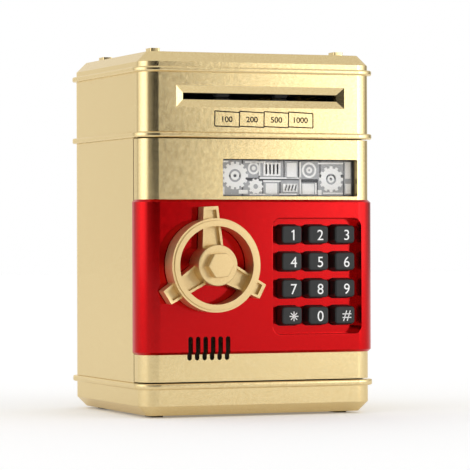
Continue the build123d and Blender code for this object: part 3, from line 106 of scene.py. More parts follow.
class BankSizes(bpy.types.PropertyGroup):
    """Sizes of the modelled pieces."""

    corner: length("Corner", "Radius of the case's upright corners", 9.0)
    wall: length("Wall", "Thickness of the gold mouldings", 2.4)
    rib: length("Moulding line", "How far the moulding lines stand out", 2.2)
    rib_base: length("Lower line", "Height of the moulding line on the base", 3.1)
    rib_mid: length("Middle line", "Height of the moulding line above the door", 2.9)
    rib_top: length("Upper line", "Height of the moulding line under the roof", 2.7)
    roof: length("Roof", "Height of the roof moulding", 7.9)
    roof_slope: length("Roof slope", "Size of the slope round the roof", 5.3)
    base_slope: length("Base slope", "Size of the slope round the base", 5.0)
    screw_head: length("Case screw head", "Radius of a case screw's head", 2.75)
    lug_width: length("Lug width", "Width of a stacking lug", 5.2)
    lug_depth: length("Lug depth", "Depth of a stacking lug", 8.0)
    lug_height: length("Lug height", "Height of a stacking lug", 2.4)
    lug_x: length("Lug place across", "From the middle of the roof", 51.3)
    lug_y: length("Lug place in depth", "From the middle of the roof", 38.2)
    note_x: length("Note slot place", "Middle of the note slot", 1.1)
    note_width: length("Note frame width", "Outside of the bevelled frame", 93.4)
    note_height: length("Note frame height", "Outside of the bevelled frame", 11.0)
    throat_width: length("Slot width", "Inside of the bevelled frame", 85.3)
    throat_height: length("Slot height", "Inside of the bevelled frame", 3.4)
    bevel_depth: length("Note frame depth", "How deep the bevels lead in", 1.2)
    funnel_depth: length("Slot depth", "Thickness of the wall at the slot", 6.5)
    coin_width: length("Coin slot length", "Length of the coin slot", 30.0)
    coin_height: length("Coin slot width", "Width of the coin slot", 3.2)
    coin_y: length("Coin slot place", "Behind the front face", 62.0)
    seam: length("Door seam", "Gap between door and side wall", 0.9)
    door_depth: length("Door depth", "How far the door wraps round the sides", 13.4)
    barrel: length("Hinge edge", "Radius of the door's hinge edge", 2.5)
    plate: length("Red plate", "Thickness of the red plate", 1.65)
    plate_edge: length("Plate edge", "Slope along the plate's edges", 1.3)
    window_x: length("Window place across", "Middle of the window", 17.5)
    window_z: length("Window place in height", "Middle of the window", 123.1)
    window_width: length("Window width", "Width of the window recess", 75.5)
    window_height: length("Window height", "Height of the window recess", 19.2)
    window_depth: length("Window depth", "Front face to pane", 4.6)
    pad_x: length("Keypad place across", "Middle of the keypad well", 31.8)
    pad_z: length("Keypad place in height", "Middle of the keypad well", 72.1)
    pad_width: length("Keypad width", "Width of the keypad well", 49.7)
    pad_height: length("Keypad height", "Height of the keypad well", 59.8)
    pad_corner: length("Keypad corner", "Corner radius of the keypad well", 4.0)
    pad_depth: length("Keypad depth", "Red face to the well's floor", 8.0)
    pad_wall: length("Keypad wall", "Wall of the keypad well", 1.5)
    key_width: length("Key width", "Width of a key at its foot", 12.1)
    key_height: length("Key height", "Height of a key at its foot", 10.2)
    key_shift: length("Key shift", "How far a key sits to the right of its switch", 0.45)
    key_draft: length("Key draft", "How far each side leans in", 0.5)
    key_lip: length("Key lip", "Lip behind the well's floor", 0.8)
    key_lip_depth: length("Key lip depth", "Thickness of that lip", 1.2)
    grille_x: length("Grille place across", "Middle of the speaker slots", -28.5)
    grille_z: length("Grille foot", "Foot of the speaker slots", 29.4)
    grille_height: length("Grille height", "Length of a speaker slot", 12.2)
    grille_pitch: length("Grille pitch", "Spacing of the speaker slots", 4.1)
    grille_slot: length("Grille slot", "Width of a speaker slot", 2.5)
    key_round: length("Key corner", "Corner radius of a key", 2.0)
    key_edge: length("Key edge", "Rounded edge of a key's face", 0.9)
    figure: length("Figure height", "Height of a figure on a key", 5.4)
    rim: length("Wheel rim", "Outer radius of the handwheel", 23.95)
    rim_face: length("Rim face", "Outer radius of the raised face of the rim", 22.9)
    rim_step: length("Rim step", "How far that face is raised", 0.7)
    rim_bore: length("Wheel opening", "Inner radius of the rim", 20.0)
    rim_depth: length("Rim depth", "Depth of the rim", 11.85)
    hub: length("Wheel hub", "Radius of the hub", 10.5)
    hub_proud: length("Hub height", "Hub in front of the rim", 1.85)
    spoke_root: length("Spoke root", "Width of a spoke at the axis", 12.7)
    spoke_tip: length("Spoke tip", "Width of a spoke at its tip", 7.9)
    spoke_depth: length("Spoke thickness", "Thickness of a spoke", 7.35)
    spoke_reach: length("Spoke reach", "Radius of the spoke tips", 30.0)
    spoke_rib: length("Spoke rib", "Width of the ribs beside a spoke's channel", 1.15)
    spoke_end: length("Spoke end", "Width of the rib across a spoke's tip", 1.7)
    spoke_channel: length("Spoke channel", "Depth of a spoke's channel", 2.4)
    wheel_gap: length("Wheel gap", "Gap between rim and red plate", 0.8)
    hexagon: length("Hexagon", "Corner radius of the hexagonal boss", 6.9)
    box_left: length("Value row left", "Left end of the printed row of note values", -24.5)
    box_right: length("Value row right", "Right end of that row", 30.0)
    box_low: length("Value row foot", "Foot of that row", 149.3)
    box_high: length("Value row top", "Top of that row", 156.8)
    box_line: length("Value row line", "Width of its printed lines", 0.6)


class BankColours(bpy.types.PropertyGroup):
    """Colours of the finishes."""

    gold: paint("Gold", "Main tone of the gold lacquer", "#D6BA81")
    gold_flake: paint("Gold flake", "Lighter flakes in the gold lacquer", "#E9D6A4")
    wheel: paint("Wheel gold", "Matt gold of the handwheel", "#D3B580")
    wheel_flake: paint("Wheel flake", "Lighter flakes in that gold", "#DFC592")
    red: paint("Red", "Main tone of the red lacquer", "#B00307")
    red_flake: paint("Red flake", "Lighter flakes in the red lacquer", "#C8090E")
    key: paint("Key", "Black of the keys", "#191B1A")
    legend: paint("Legend", "White of the figures on the keys", "#F4F4F2")
    print_ink: paint("Print", "Dark ink of the note values", "#1C1610")
    picture: paint("Machine relief", "Raised parts behind the window", "#FCFCFA")
    # The plates' grey is painted shade: a darker copy of the white relief for the parts that sit further back.
    picture_plate_shade: paint("Relief plates", "Flat plates behind the raised parts", "#AEAFB2")
    # The ground's dark tone is painted shadow, seen in the gaps between the plates and round the raised parts.
    picture_ground_shadow: paint("Relief ground", "Painted shadow between the plates", "#47484B")
    floor: paint("Floor", "Pale floor", "#F7F7F7")


def sizes():
    return bpy.context.scene.bank_sizes


def colours():
    return bpy.context.scene.bank_colours


# --- modelling --------------------------------------------------------------------------------------------
def only(*pieces):
    """Select these pieces and nothing else."""
    if bpy.context.object and bpy.context.object.mode != "OBJECT":
        bpy.ops.object.mode_set(mode="OBJECT")
    bpy.ops.object.select_all(action="DESELECT")
    for piece in pieces:
        piece.select_set(True)
    bpy.context.view_layer.objects.active = pieces[0] if pieces else None


def settle(piece, name=None):
    """Give a new piece its name and put its place, turn and scale into its mesh."""
    only(piece)
    bpy.ops.object.transform_apply(location=True, rotation=True, scale=True)
    if name:
        piece.name = piece.data.name = name
    return piece


def block(low, high, name=None):
    """Box between two corners."""
    low, high = Vector(low), Vector(high)
    only()
    bpy.ops.mesh.primitive_cube_add(size=1, location=(low + high) / 2)
    piece = bpy.context.object
    piece.scale = high - low
    return settle(piece, name)


def rod(centre, radius, low, high, axis="Y", sides=64, name=None):
    """Round rod along an axis; centre gives its other two coordinates in X, Y, Z order."""
    middle = (low + high) / 2
    spot = {"X": (middle, *centre), "Y": (centre[0], middle, centre[1]), "Z": (*centre, middle)}[axis]
    turn = {"X": (0, math.pi / 2, 0), "Y": (math.pi / 2, 0, 0), "Z": (0, 0, 0)}[axis]
    only()
    bpy.ops.mesh.primitive_cylinder_add(vertices=sides, radius=radius, depth=high - low, location=spot, rotation=turn)
    return settle(bpy.context.object, name)


def pick(piece, kind, test):
    """Enter edit mode and select the vertices, edges or faces that pass the test."""
    only(piece)
    bpy.ops.object.mode_set(mode="EDIT")
    bpy.ops.mesh.select_mode(type=kind)
    bpy.ops.mesh.select_all(action="DESELECT")
    mesh = bmesh.from_edit_mesh(piece.data)
    items = {"VERT": mesh.verts, "EDGE": mesh.edges, "FACE": mesh.faces}[kind]
    count = 0
    for item in items:
        if test(item):
            item.select_set(True)
            count += 1
    mesh.select_flush_mode()
    bmesh.update_edit_mesh(piece.data)
    if not count:
        raise RuntimeError(piece.name + ": nothing was found to select")
    return piece


def leave():
    """Go back to object mode."""
    bpy.ops.object.mode_set(mode="OBJECT")


def along(axis):
    """Test for edges that run along an axis."""
    index = "XYZ".index(axis)

    def test(edge):
        run = edge.verts[1].co - edge.verts[0].co
        return run.length > 0 and abs(run[index]) / run.length > 0.999

    return test


def bevel(piece, test, size, segments=1):
    """Slope the edges that pass the test, or round them where there are more segments."""
    pick(piece, "EDGE", test)
    bpy.ops.mesh.bevel(offset=size, offset_type="OFFSET", segments=segments, profile=0.5, affect="EDGES")
    leave()
    return piece


def round_edges(piece, axis, radius, segments):
    """Round the edges that run along an axis."""
    return bevel(piece, along(axis), radius, segments)


def soften_ring(piece, axis, place, size, segments=1):
    """Bevel every edge that lies in one plane across an axis."""
    index = "XYZ".index(axis)
    return bevel(piece, lambda edge: all(abs(v.co[index] - place) < CLOSE for v in edge.verts), size, segments)


def pick_face(piece, y):
    """Select the flat face that lies in one plane parallel to the front."""
    return pick(piece, "FACE", lambda face: abs(face.calc_center_median().y - y) < CLOSE)


def combine(piece, tool, operation):
    """Cut or add a second solid, which is used up."""
    only(piece)
    step = piece.modifiers.new(operation, "BOOLEAN")
    step.operation = operation
    step.solver = "EXACT"
    step.object = tool
    bpy.ops.object.modifier_apply(modifier=step.name)
    bpy.data.objects.remove(tool, do_unlink=True)
    return piece


def cut(piece, *tools):
    """Take solids away from a piece."""
    for tool in tools:
        combine(piece, tool, "DIFFERENCE")
    return piece


def add(piece, *tools):
    """Join solids to a piece."""
    for tool in tools:
        combine(piece, tool, "UNION")
    return piece


def ease(piece, width, segments=2, shade=32.0):
    """Break the edges sharper than 38 degrees and shade the rest smooth up to an angle."""
    only(piece)
    step = piece.modifiers.new("Edges", "BEVEL")
    step.width = width
    step.segments = segments
    step.limit_method = "ANGLE"
    step.angle_limit = math.radians(38.0)
    bpy.ops.object.modifier_apply(modifier=step.name)
    return smooth(piece, shade)


def smooth(piece, angle=32.0):
    """Shade smooth up to an angle, with the normals led by the large faces."""
    only(piece)
    bpy.ops.object.shade_smooth_by_angle(angle=math.radians(angle))
    step = piece.modifiers.new("Normals", "WEIGHTED_NORMAL")
    step.keep_sharp = True
    bpy.ops.object.modifier_apply(modifier=step.name)
    return piece


def prism(z0, z1, grow=0.0, name=None):
    """Slice of the case's rounded footprint, grown or shrunk all round."""
    piece = block((-HALF_W - grow, FRONT - grow, z0), (HALF_W + grow, BACK + grow, z1), name)
    return round_edges(piece, "Z", sizes().corner + grow, 10)


def tile(x, z, width, height, radius, y0, y1, segments=6, name=None):
    """Plate parallel to the front with rounded corners."""
    piece = block((x - width / 2, y0, z - height / 2), (x + width / 2, y1, z + height / 2), name)
    return round_edges(piece, "Y", radius, segments) if radius else piece


def moulding_line(z0, z1):
    """Raised line round the case with softly rounded edges."""
    s = sizes()
    line = prism(z0, z1, s.rib)
    for place in (z0, z1):
        soften_ring(line, "Z", place, 0.8 * MM, 3)
    return line


def finish(piece, body, slot, *nodes, material=None):
    """Give a piece its slot's finish or its own, and hang it on its body in place of the frame's nodes."""
    piece.data.materials.clear()
    piece.data.materials.append(bpy.data.materials[material or SLOT_FINISH[slot]])
    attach(piece, body)
    if nodes:
        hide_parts(*nodes)
    return piece


# --- materials --------------------------------------------------------------------------------------------
def linear(value):
    """Linear colour of an sRGB hex value."""
    parts = [int(value.lstrip("#")[i : i + 2], 16) / 255 for i in (0, 2, 4)]
    return tuple(p / 12.92 if p <= 0.04045 else ((p + 0.055) / 1.055) ** 2.4 for p in parts) + (1.0,)


def put(tree, kind, sockets=None, **settings):
    """Add a node with its settings; a socket takes a value or another node's output."""
    made = tree.nodes.new(kind)
    for key, value in settings.items():
        setattr(made, key, value)
    for key, value in (sockets or {}).items():
        if isinstance(value, bpy.types.NodeSocket):
            tree.links.new(value, made.inputs[key])
        else:
            made.inputs[key].default_value = value
    return made


def new_material(name):
    """Empty node material, its tree and a position in metres."""
    material = bpy.data.materials.new(name)
    material.use_nodes = True
    tree = material.node_tree
    tree.nodes.clear()
    place = put(tree, "ShaderNodeTexCoord").outputs["Object"]
    return tree, place


def surface(tree, sockets):
    """End a material with its shader and output."""
    shader = put(tree, "ShaderNodeBsdfPrincipled", sockets)
    put(tree, "ShaderNodeOutputMaterial", {"Surface": shader.outputs["BSDF"]})


def flake_paint(
    name, base, flake, grain, metallic, roughness, coat, coat_roughness, orange_peel, coat_ior=1.5, tint="#FFFFFF"
):
    """Metallic lacquer on moulded ABS: fine flakes catch the light unevenly under a thin clear film.

    Real flakes are about 0.05 mm; they are drawn at the grain given so that they show. The film's orange
    peel is a slow wave of a few millimetres, and the roughness wavers a little with it.
    """
    tree, place = new_material(name)
    peel_wave, flake_depth, peel_depth = 3.0 * MM, 0.02 * MM, 0.05 * MM
    flakes = put(tree, "ShaderNodeTexNoise", {
        "Vector": place, "Scale": 1 / grain, "Detail": 3.0, "Roughness": 0.7,
    }).outputs["Fac"]
    wave = put(tree, "ShaderNodeTexNoise", {"Vector": place, "Scale": 1 / peel_wave, "Detail": 1.0}).outputs["Fac"]
    share = put(tree, "ShaderNodeMapRange", {"Value": flakes, "From Min": 0.36, "From Max": 0.66})
    tone = put(tree, "ShaderNodeMix", {
        0: share.outputs["Result"], 6: linear(base), 7: linear(flake),
    }, data_type="RGBA")
    rough = put(tree, "ShaderNodeMapRange", {"Value": wave, "To Min": roughness - 0.03, "To Max": roughness + 0.03})
    sparkle = put(tree, "ShaderNodeBump", {"Height": flakes, "Strength": 0.08, "Distance": flake_depth})
    peel = put(tree, "ShaderNodeBump", {
        "Height": wave, "Strength": orange_peel, "Distance": peel_depth, "Normal": sparkle.outputs["Normal"],
    })
    surface(tree, {
        "Base Color": tone.outputs[2],
        "Metallic": metallic,
        "Roughness": rough.outputs["Result"],
        "Coat Weight": coat,
        "Coat Roughness": coat_roughness,
        "Coat IOR": coat_ior,
        "Specular Tint": linear(tint),
        "Normal": peel.outputs["Normal"],
    })


def moulded(name, value, roughness, ior=1.53, strength=0.35, gloss=0.5):
    """Moulded plastic: even colour with the fine spark-eroded texture of its mould, which dulls the gloss."""
    tree, place = new_material(name)
    spark, spark_depth, cloud = 0.35 * MM, 0.02 * MM, 12 * MM
    texture = put(tree, "ShaderNodeTexNoise", {"Vector": place, "Scale": 1 / spark, "Detail": 2.0}).outputs["Fac"]
    slow = put(tree, "ShaderNodeTexNoise", {"Vector": place, "Scale": 1 / cloud, "Detail": 1.0})
    darker, lighter = [tuple(min(1.0, c * share) for c in linear(value)[:3]) + (1.0,) for share in (0.94, 1.06)]
    tone = put(tree, "ShaderNodeMix", {0: slow.outputs["Fac"], 6: darker, 7: lighter}, data_type="RGBA")
    rough = put(tree, "ShaderNodeMapRange", {
        "Value": texture, "To Min": roughness - 0.04, "To Max": roughness + 0.05,
    })
    grain = put(tree, "ShaderNodeBump", {"Height": texture, "Strength": strength, "Distance": spark_depth})
    surface(tree, {
        "Base Color": tone.outputs[2],
        "Roughness": rough.outputs["Result"],
        "IOR": ior,
        "Specular IOR Level": gloss,
        "Normal": grain.outputs["Normal"],
    })


def plated(name, value, roughness):
    """Plated metal: a bright coat whose gloss wavers with the fine marks of drawing and tumbling."""
    tree, place = new_material(name)
    mark, mark_depth = 0.48 * MM, 0.01 * MM
    marks = put(tree, "ShaderNodeTexNoise", {"Vector": place, "Scale": 1 / mark, "Detail": 3.0}).outputs["Fac"]
    rough = put(tree, "ShaderNodeMapRange", {"Value": marks, "To Min": roughness - 0.06, "To Max": roughness + 0.08})
    scratch = put(tree, "ShaderNodeBump", {"Height": marks, "Strength": 0.25, "Distance": mark_depth})
    surface(tree, {
        "Base Color": linear(value),
        "Metallic": 1.0,
        "Roughness": rough.outputs["Result"],
        "Normal": scratch.outputs["Normal"],
    })


def clear_plastic(name):
    """Polished clear polystyrene: nearly colourless, with the high gloss of a polished mould."""
    tree, place = new_material(name)
    smear_width = 9 * MM
    smear = put(tree, "ShaderNodeTexNoise", {"Vector": place, "Scale": 1 / smear_width, "Detail": 2.0})
    rough = put(tree, "ShaderNodeMapRange", {"Value": smear.outputs["Fac"], "To Min": 0.02, "To Max": 0.07})
    surface(tree, {
        "Base Color": (0.97, 0.98, 0.98, 1.0),
        "Roughness": rough.outputs["Result"],
        "IOR": 1.49,
        "Transmission Weight": 1.0,
        "Alpha": 0.12,
    })


def make_materials():
    """All the finishes, the lacquers first."""
    c = colours()
    edge = "#F6EEDA"  # the gold's own tone where it is seen edge on
    # Grain, metallic, roughness, film, film's roughness, orange peel.
    flake_paint("satin_gold_lacquer", c.gold, c.gold_flake, 0.45 * MM, 0.97, 0.155, 0.25, 0.20, 0.20, tint=edge)
    flake_paint("wheel_gold_lacquer", c.wheel, c.wheel_flake, 0.40 * MM, 0.85, 0.34, 0.0, 0.30, 0.08, tint=edge)
    flake_paint("red_metallic_lacquer", c.red, c.red_flake, 0.40 * MM, 0.95, 0.15, 0.4, 0.06, 0.10, 1.27)
    moulded("key_black_abs", c.key, 0.42, strength=0.3, gloss=0.4)
    moulded("key_white_print", c.legend, 0.5)
    moulded("note_print_ink", c.print_ink, 0.6, gloss=0.12)
    moulded("black_abs", "#1B1B1C", 0.48)
    moulded("black_rubber", "#1A1A1A", 0.72, ior=1.52)
    moulded("grey_rubber", "#6E6E6E", 0.62, ior=1.52)
    moulded("grey_silicone", "#9A9C9C", 0.5, ior=1.41)
    moulded("white_acetal", "#E9E7DE", 0.35, ior=1.48)
    moulded("machine_relief", c.picture, 0.38)
    # Painted shade: the lower plates are a grey copy of the white relief.
    moulded("machine_plate_painted_shade", c.picture_plate_shade, 0.42)
    # Painted shadow: the dark ground between the plates.
    moulded("machine_ground_painted_shadow", c.picture_ground_shadow, 0.5)
    moulded("board_lacquer", "#1D5B33", 0.32)
    moulded("speaker_paper", "#202022", 0.8)
    moulded("coil_enamel", "#9A4A1C", 0.3)
    moulded("cell_sleeve", "#3A444E", 0.35)
    plated("zinc_plated_steel", "#B9BABD", 0.32)
    plated("nickel_plated_steel", "#C9C6BE", 0.25)
    clear_plastic("clear_polystyrene")


SLOT_FINISH = {
    "gold_abs": "satin_gold_lacquer",
    "red_metallic": "red_metallic_lacquer",
    "wheel_gold": "wheel_gold_lacquer",
    "key_black": "key_black_abs",
    "black_abs": "black_abs",
    "rubber_black": "black_rubber",
    "roller_rubber": "grey_rubber",
    "silicone": "grey_silicone",
    "steel": "zinc_plated_steel",
    "nickel_steel": "nickel_plated_steel",
    "cell_steel": "cell_sleeve",
    "white_pom": "white_acetal",
    "clear_pane": "clear_polystyrene",
    "silver_card": "machine_relief",
    "board_green": "board_lacquer",
    "speaker_black": "speaker_paper",
    "copper_coil": "coil_enamel",
}


# --- stage ------------------------------------------------------------------------------------------------
# Brightness of the studio round the object: degrees from its front towards its left, and level.
STUDIO = (
    (-180, 1.10), (-150, 1.00), (-110, 0.30), (-80, 1.10), (-58, 2.60), (-42, 3.40), (-32, 4.60), (-25, 3.40),
    (-20, 0.0), (-10, 0.0), (15, 0.0), (30, 0.15), (48, 0.30), (60, 1.30), (72, 2.20), (90, 2.35), (115, 1.50),
    (145, 0.65), (170, 1.15), (180, 1.10),
)
STUDIO_PEAK = 4.6  # the ramp's colours are shares of this level
OVERHEAD = 0.90  # level above the screens
SCREENS_FADE, SCREENS_END = 0.12, 0.52  # where the screens give way to it, as the sine of the height
FLOOR_GLOW = 0.14
FLOOR_SIZE = 12.0


def make_world():
    """White studio: a bright screen to the right, a dark gap round the camera and softer screens to the left.

    The levels go round the object in a ramp and fade to an even ceiling above.
    """
    world = bpy.data.worlds.new("studio")
    bpy.context.scene.world = world
    world.use_nodes = True
    tree = world.node_tree
    tree.nodes.clear()
    way = put(tree, "ShaderNodeSeparateXYZ", {0: put(tree, "ShaderNodeTexCoord").outputs["Generated"]})
    left = put(tree, "ShaderNodeMath", {0: way.outputs["X"], 1: -1.0}, operation="MULTIPLY")
    ahead = put(tree, "ShaderNodeMath", {0: way.outputs["Y"], 1: -1.0}, operation="MULTIPLY")
    turn = put(tree, "ShaderNodeMath", {0: left.outputs[0], 1: ahead.outputs[0]}, operation="ARCTAN2")
    share = put(tree, "ShaderNodeMapRange", {"Value": turn.outputs[0], "From Min": -math.pi, "From Max": math.pi})
    ramp = put(tree, "ShaderNodeValToRGB", {0: share.outputs["Result"]})
    stops = ramp.color_ramp.elements
    stops.remove(stops[1])
    for i, (degrees, level) in enumerate(STUDIO):
        place = (degrees + 180.0) / 360.0
        stop = stops.new(place) if i else stops[0]
        stop.position = place
        stop.color = (level / STUDIO_PEAK,) * 3 + (1.0,)
    screens = put(tree, "ShaderNodeMath", {0: ramp.outputs["Color"], 1: STUDIO_PEAK}, operation="MULTIPLY")
    band = put(tree, "ShaderNodeMapRange", {
        "Value": way.outputs["Z"], "From Min": SCREENS_FADE, "From Max": SCREENS_END,
    }, interpolation_type="SMOOTHSTEP")
    level = put(tree, "ShaderNodeMix", {
        0: band.outputs["Result"], 2: screens.outputs[0], 3: OVERHEAD,
    }, data_type="FLOAT")
    white = (1.0, 1.0, 1.0, 1.0)
    studio = put(tree, "ShaderNodeBackground", {"Color": white, "Strength": level.outputs[0]})
    plain = put(tree, "ShaderNodeBackground", {"Color": white, "Strength": 1.0})
    ray = put(tree, "ShaderNodeLightPath")
    mix = put(tree, "ShaderNodeMixShader", {
        0: ray.outputs["Is Camera Ray"], 1: studio.outputs[0], 2: plain.outputs[0],
    })
    put(tree, "ShaderNodeOutputWorld", {"Surface": mix.outputs[0]})


def make_camera():
    """Long lens, turned to the left of the front and nearly level."""
    yaw, pitch, roll = math.radians(21.25), 0.0022, -0.00295
    distance, across, height = 1.4346, -0.01273, 0.0904  # from the middle of the front face's foot
    ahead = Vector((math.sin(yaw), math.cos(yaw), 0.0))
    right = Vector((math.cos(yaw), -math.sin(yaw), 0.0))
    up = Vector((0.0, 0.0, 1.0))
    spot = Vector((0.0, FRONT, height)) - ahead * distance + right * across
    sight = ahead * math.cos(pitch) + up * math.sin(pitch)
    above = up * math.cos(pitch) - ahead * math.sin(pitch)
    side = right * math.cos(roll) + above * math.sin(roll)
    top = above * math.cos(roll) - right * math.sin(roll)
    only()
    bpy.ops.object.camera_add()
    camera = bpy.context.object
    camera.name = "camera"
    turn = Matrix((side, top, -sight)).transposed().to_4x4()
    camera.matrix_world = Matrix.Translation(spot) @ turn
    camera.data.lens = 212.9
    camera.data.sensor_width = 36.0
    camera.data.clip_start = 0.05
    bpy.context.scene.camera = camera


# --- operators --------------------------------------------------------------------------------------------
class BANK_OT_finishes(bpy.types.Operator):
    """Make the finishes and give each frame node its own"""

    bl_idname = "bank.finishes"
    bl_label = "Finishes"

    def execute(self, context):
        make_materials()
        for part in frame["record"]["subparts"]:
            material = bpy.data.materials[SLOT_FINISH[part["material_slot"]]]
            for holder in frame["nodes"][part["node"]].material_slots:
                holder.material = material
        return {"FINISHED"}


class BANK_OT_stage(bpy.types.Operator):
    """Set the pale floor, the studio light and the camera"""

    bl_idname = "bank.stage"
    bl_label = "Stage"

    def execute(self, context):
        tree, place = new_material("pale_floor")
        surface(tree, {
            "Base Color": linear(colours().floor), "Roughness": 0.9, "Specular IOR Level": 0.1,
            "Emission Color": (1.0, 1.0, 1.0, 1.0), "Emission Strength": FLOOR_GLOW,
        })
        only()
        bpy.ops.mesh.primitive_plane_add(size=FLOOR_SIZE, location=(0, 0, 0))
        floor = settle(bpy.context.object, "floor")
        floor.data.materials.append(bpy.data.materials["pale_floor"])
        make_world()
        make_camera()
        view = context.scene.view_settings
        view.view_transform = "Standard"
        view.look = "None"
        return {"FINISHED"}


class BANK_OT_head(bpy.types.Operator):
    """Head shell with its two moulding lines and the bevelled note slot"""

    bl_idname = "bank.head"
    bl_label = "Head shell"

    def execute(self, context):
        s = sizes()
        head = prism(HEAD_Z, ROOF_Z, name="head_moulding")
        add(head, moulding_line(HEAD_Z, HEAD_Z + s.rib_mid), moulding_line(ROOF_Z - s.rib_top, ROOF_Z))
        cut(head, prism(HEAD_Z - OVER, ROOF_Z + OVER, -s.wall))
        half_w, half_h, rim = s.note_width / 2, s.note_height / 2, 3.0 * MM
        x0, x1, z0, z1 = s.note_x - half_w, s.note_x + half_w, NOTE_Z - half_h, NOTE_Z + half_h
        bevel_end, funnel_end = FRONT + s.bevel_depth, FRONT + s.funnel_depth
        add(head, block((x0 - rim, FRONT + s.wall / 2, z0 - rim), (x1 + rim, funnel_end, z1 + rim)))
        mouth = block((x0, FRONT, z0), (x1, bevel_end, z1))
        pick_face(mouth, bevel_end)
        bpy.ops.transform.resize(value=(s.throat_width / s.note_width, 1, s.throat_height / s.note_height))
        leave()
        pick_face(mouth, FRONT)
        bpy.ops.mesh.extrude_region_move(TRANSFORM_OT_translate={"value": (0, -OVER, 0)})
        leave()
        half_w, half_h, overlap = s.throat_width / 2, s.throat_height / 2, 0.1 * MM
        throat = block(
            (s.note_x - half_w, bevel_end - overlap, NOTE_Z - half_h),
            (s.note_x + half_w, funnel_end + OVER, NOTE_Z + half_h),
        )
        cut(head, mouth, throat, rod(HINGE, PIN_BORE, HEAD_Z - OVER, HEAD_Z + PIN_DEEP, "Z", sides=24))
        ease(head, 0.28 * MM, shade=13.0)
        finish(head, "case", "gold_abs", "head_shell")
        return {"FINISHED"}


class BANK_OT_roof(bpy.types.Operator):
    """Roof moulding with its slope, four stacking lugs and the coin slot"""

    bl_idname = "bank.roof"
    bl_label = "Roof"

    def execute(self, context):
        s = sizes()
        top = ROOF_Z + s.roof
        roof = prism(ROOF_Z, top, name="roof_moulding")
        soften_ring(roof, "Z", top, s.roof_slope)
        inner_slope = s.roof_slope - 0.9 * MM
        cut(roof, soften_ring(prism(ROOF_Z - OVER, top - s.wall, -s.wall), "Z", top - s.wall, inner_slope))
        middle = (FRONT + BACK) / 2
        half_w, half_d, root, lug_round = s.lug_width / 2, s.lug_depth / 2, 0.5 * MM, 0.8 * MM
        for x in (-s.lug_x, s.lug_x):
            for y in (middle - s.lug_y, middle + s.lug_y):
                lug = block((x - half_w, y - half_d, top - root), (x + half_w, y + half_d, top + s.lug_height))
                add(roof, round_edges(lug, "Z", lug_round, 4))
        half_w, half_d, y = s.coin_width / 2, s.coin_height / 2, FRONT + s.coin_y
        below, slot_round = top - 4 * MM, 0.6 * MM
        slot = block((-half_w, y - half_d, below), (half_w, y + half_d, top + OVER))
        cut(roof, round_edges(slot, "Z", slot_round, 3))
        ease(roof, 0.4 * MM, 3)
        finish(roof, "case", "gold_abs", "top_cover")
        return {"FINISHED"}


def case_screw_spots():
    """Places of the four case screws, one in each corner of the box round them all."""
    low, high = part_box("case_screws")
    head = sizes().screw_head
    return [(x, y) for x in (low.x + head, high.x - head) for y in (low.y + head, high.y - head)]


class BANK_OT_base(bpy.types.Operator):
    """Base moulding with its slope, moulding line, battery opening and screw recesses"""

    bl_idname = "bank.base"
    bl_label = "Base"

    def execute(self, context):
        s = sizes()
        base = prism(BASE_Z, BASE_TOP, name="base_moulding")
        soften_ring(base, "Z", BASE_Z, s.base_slope)
        add(base, moulding_line(BASE_TOP - s.rib_base, BASE_TOP))
        floor = BASE_Z + s.wall
        cut(base, soften_ring(prism(floor, BASE_TOP + OVER, -s.wall), "Z", floor, s.base_slope))
        post_wall, post_foot, post_gap = 1.2 * MM, 1.5 * MM, 2.5 * MM
        recess, shank = floor + 2.0 * MM, 1.8 * MM
        for x, y in case_screw_spots():
            add(base, rod((x, y), s.screw_head + post_wall, BASE_Z + post_foot, BASE_TOP - post_gap, "Z", sides=32))
            cut(base, rod((x, y), s.screw_head + FIT, BASE_Z - OVER, recess, "Z", sides=32))
            cut(base, rod((x, y), shank, BASE_Z, BASE_TOP, "Z", sides=24))
        low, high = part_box("battery_cover")
        cover, bay = low.z + 1.8 * MM, BASE_Z + 8 * MM
        cut(base, block((low.x - FIT, low.y - FIT, BASE_Z - OVER), (high.x + FIT, high.y + FIT, cover)))
        cut(base, block((low.x + LAP, low.y + LAP, BASE_Z - OVER), (high.x - LAP, high.y - LAP, bay)))
        cut(base, rod(HINGE, PIN_BORE, BASE_TOP - PIN_DEEP, BASE_TOP + OVER, "Z", sides=24))
        ease(base, 0.4 * MM, 3)
        finish(base, "case", "gold_abs", "base_tray")
        return {"FINISHED"}


class BANK_OT_walls(bpy.types.Operator):
    """Side and back walls between base and head, with their screw bosses"""

    bl_idname = "bank.walls"
    bl_label = "Case walls"

    def execute(self, context):
        s = sizes()
        walls = prism(BASE_TOP, HEAD_Z, name="case_walls")
        cut(walls, prism(BASE_TOP - OVER, HEAD_Z + OVER, -s.wall))
        boss, boss_height, web, bore = 3.4 * MM, 12 * MM, 2.5 * MM, 1.5 * MM
        for x, y in case_screw_spots():
            ends = (math.copysign(HALF_W - s.wall / 2, x), x)
            for z0, z1 in ((BASE_TOP, BASE_TOP + boss_height), (HEAD_Z - boss_height, HEAD_Z)):
                add(walls, block((min(ends), y - web, z0), (max(ends), y + web, z1)))
                add(walls, rod((x, y), boss, z0, z1, "Z", sides=32))
                cut(walls, rod((x, y), bore, z0 - OVER, z1 + OVER, "Z", sides=24))
        ahead, reach = FRONT - 5 * MM, FRONT + s.door_depth + s.seam
        cut(walls, block((-2 * HALF_W, ahead, BASE_TOP - OVER), (2 * HALF_W, reach, HEAD_Z + OVER)))
        ease(walls, 0.3 * MM)
        finish(walls, "case", "gold_abs", "case_body")
        return {"FINISHED"}


def grille_cutters(y0, y1):
    """Cutters of the six speaker slots, which run across the plate's lower edge."""
    s = sizes()
    middle, end = s.grille_z + s.grille_height / 2, s.grille_slot / 2 - 0.01 * MM
    return [
        tile(s.grille_x + (i - 2.5) * s.grille_pitch, middle, s.grille_slot, s.grille_height, end, y0, y1)
        for i in range(6)
    ]


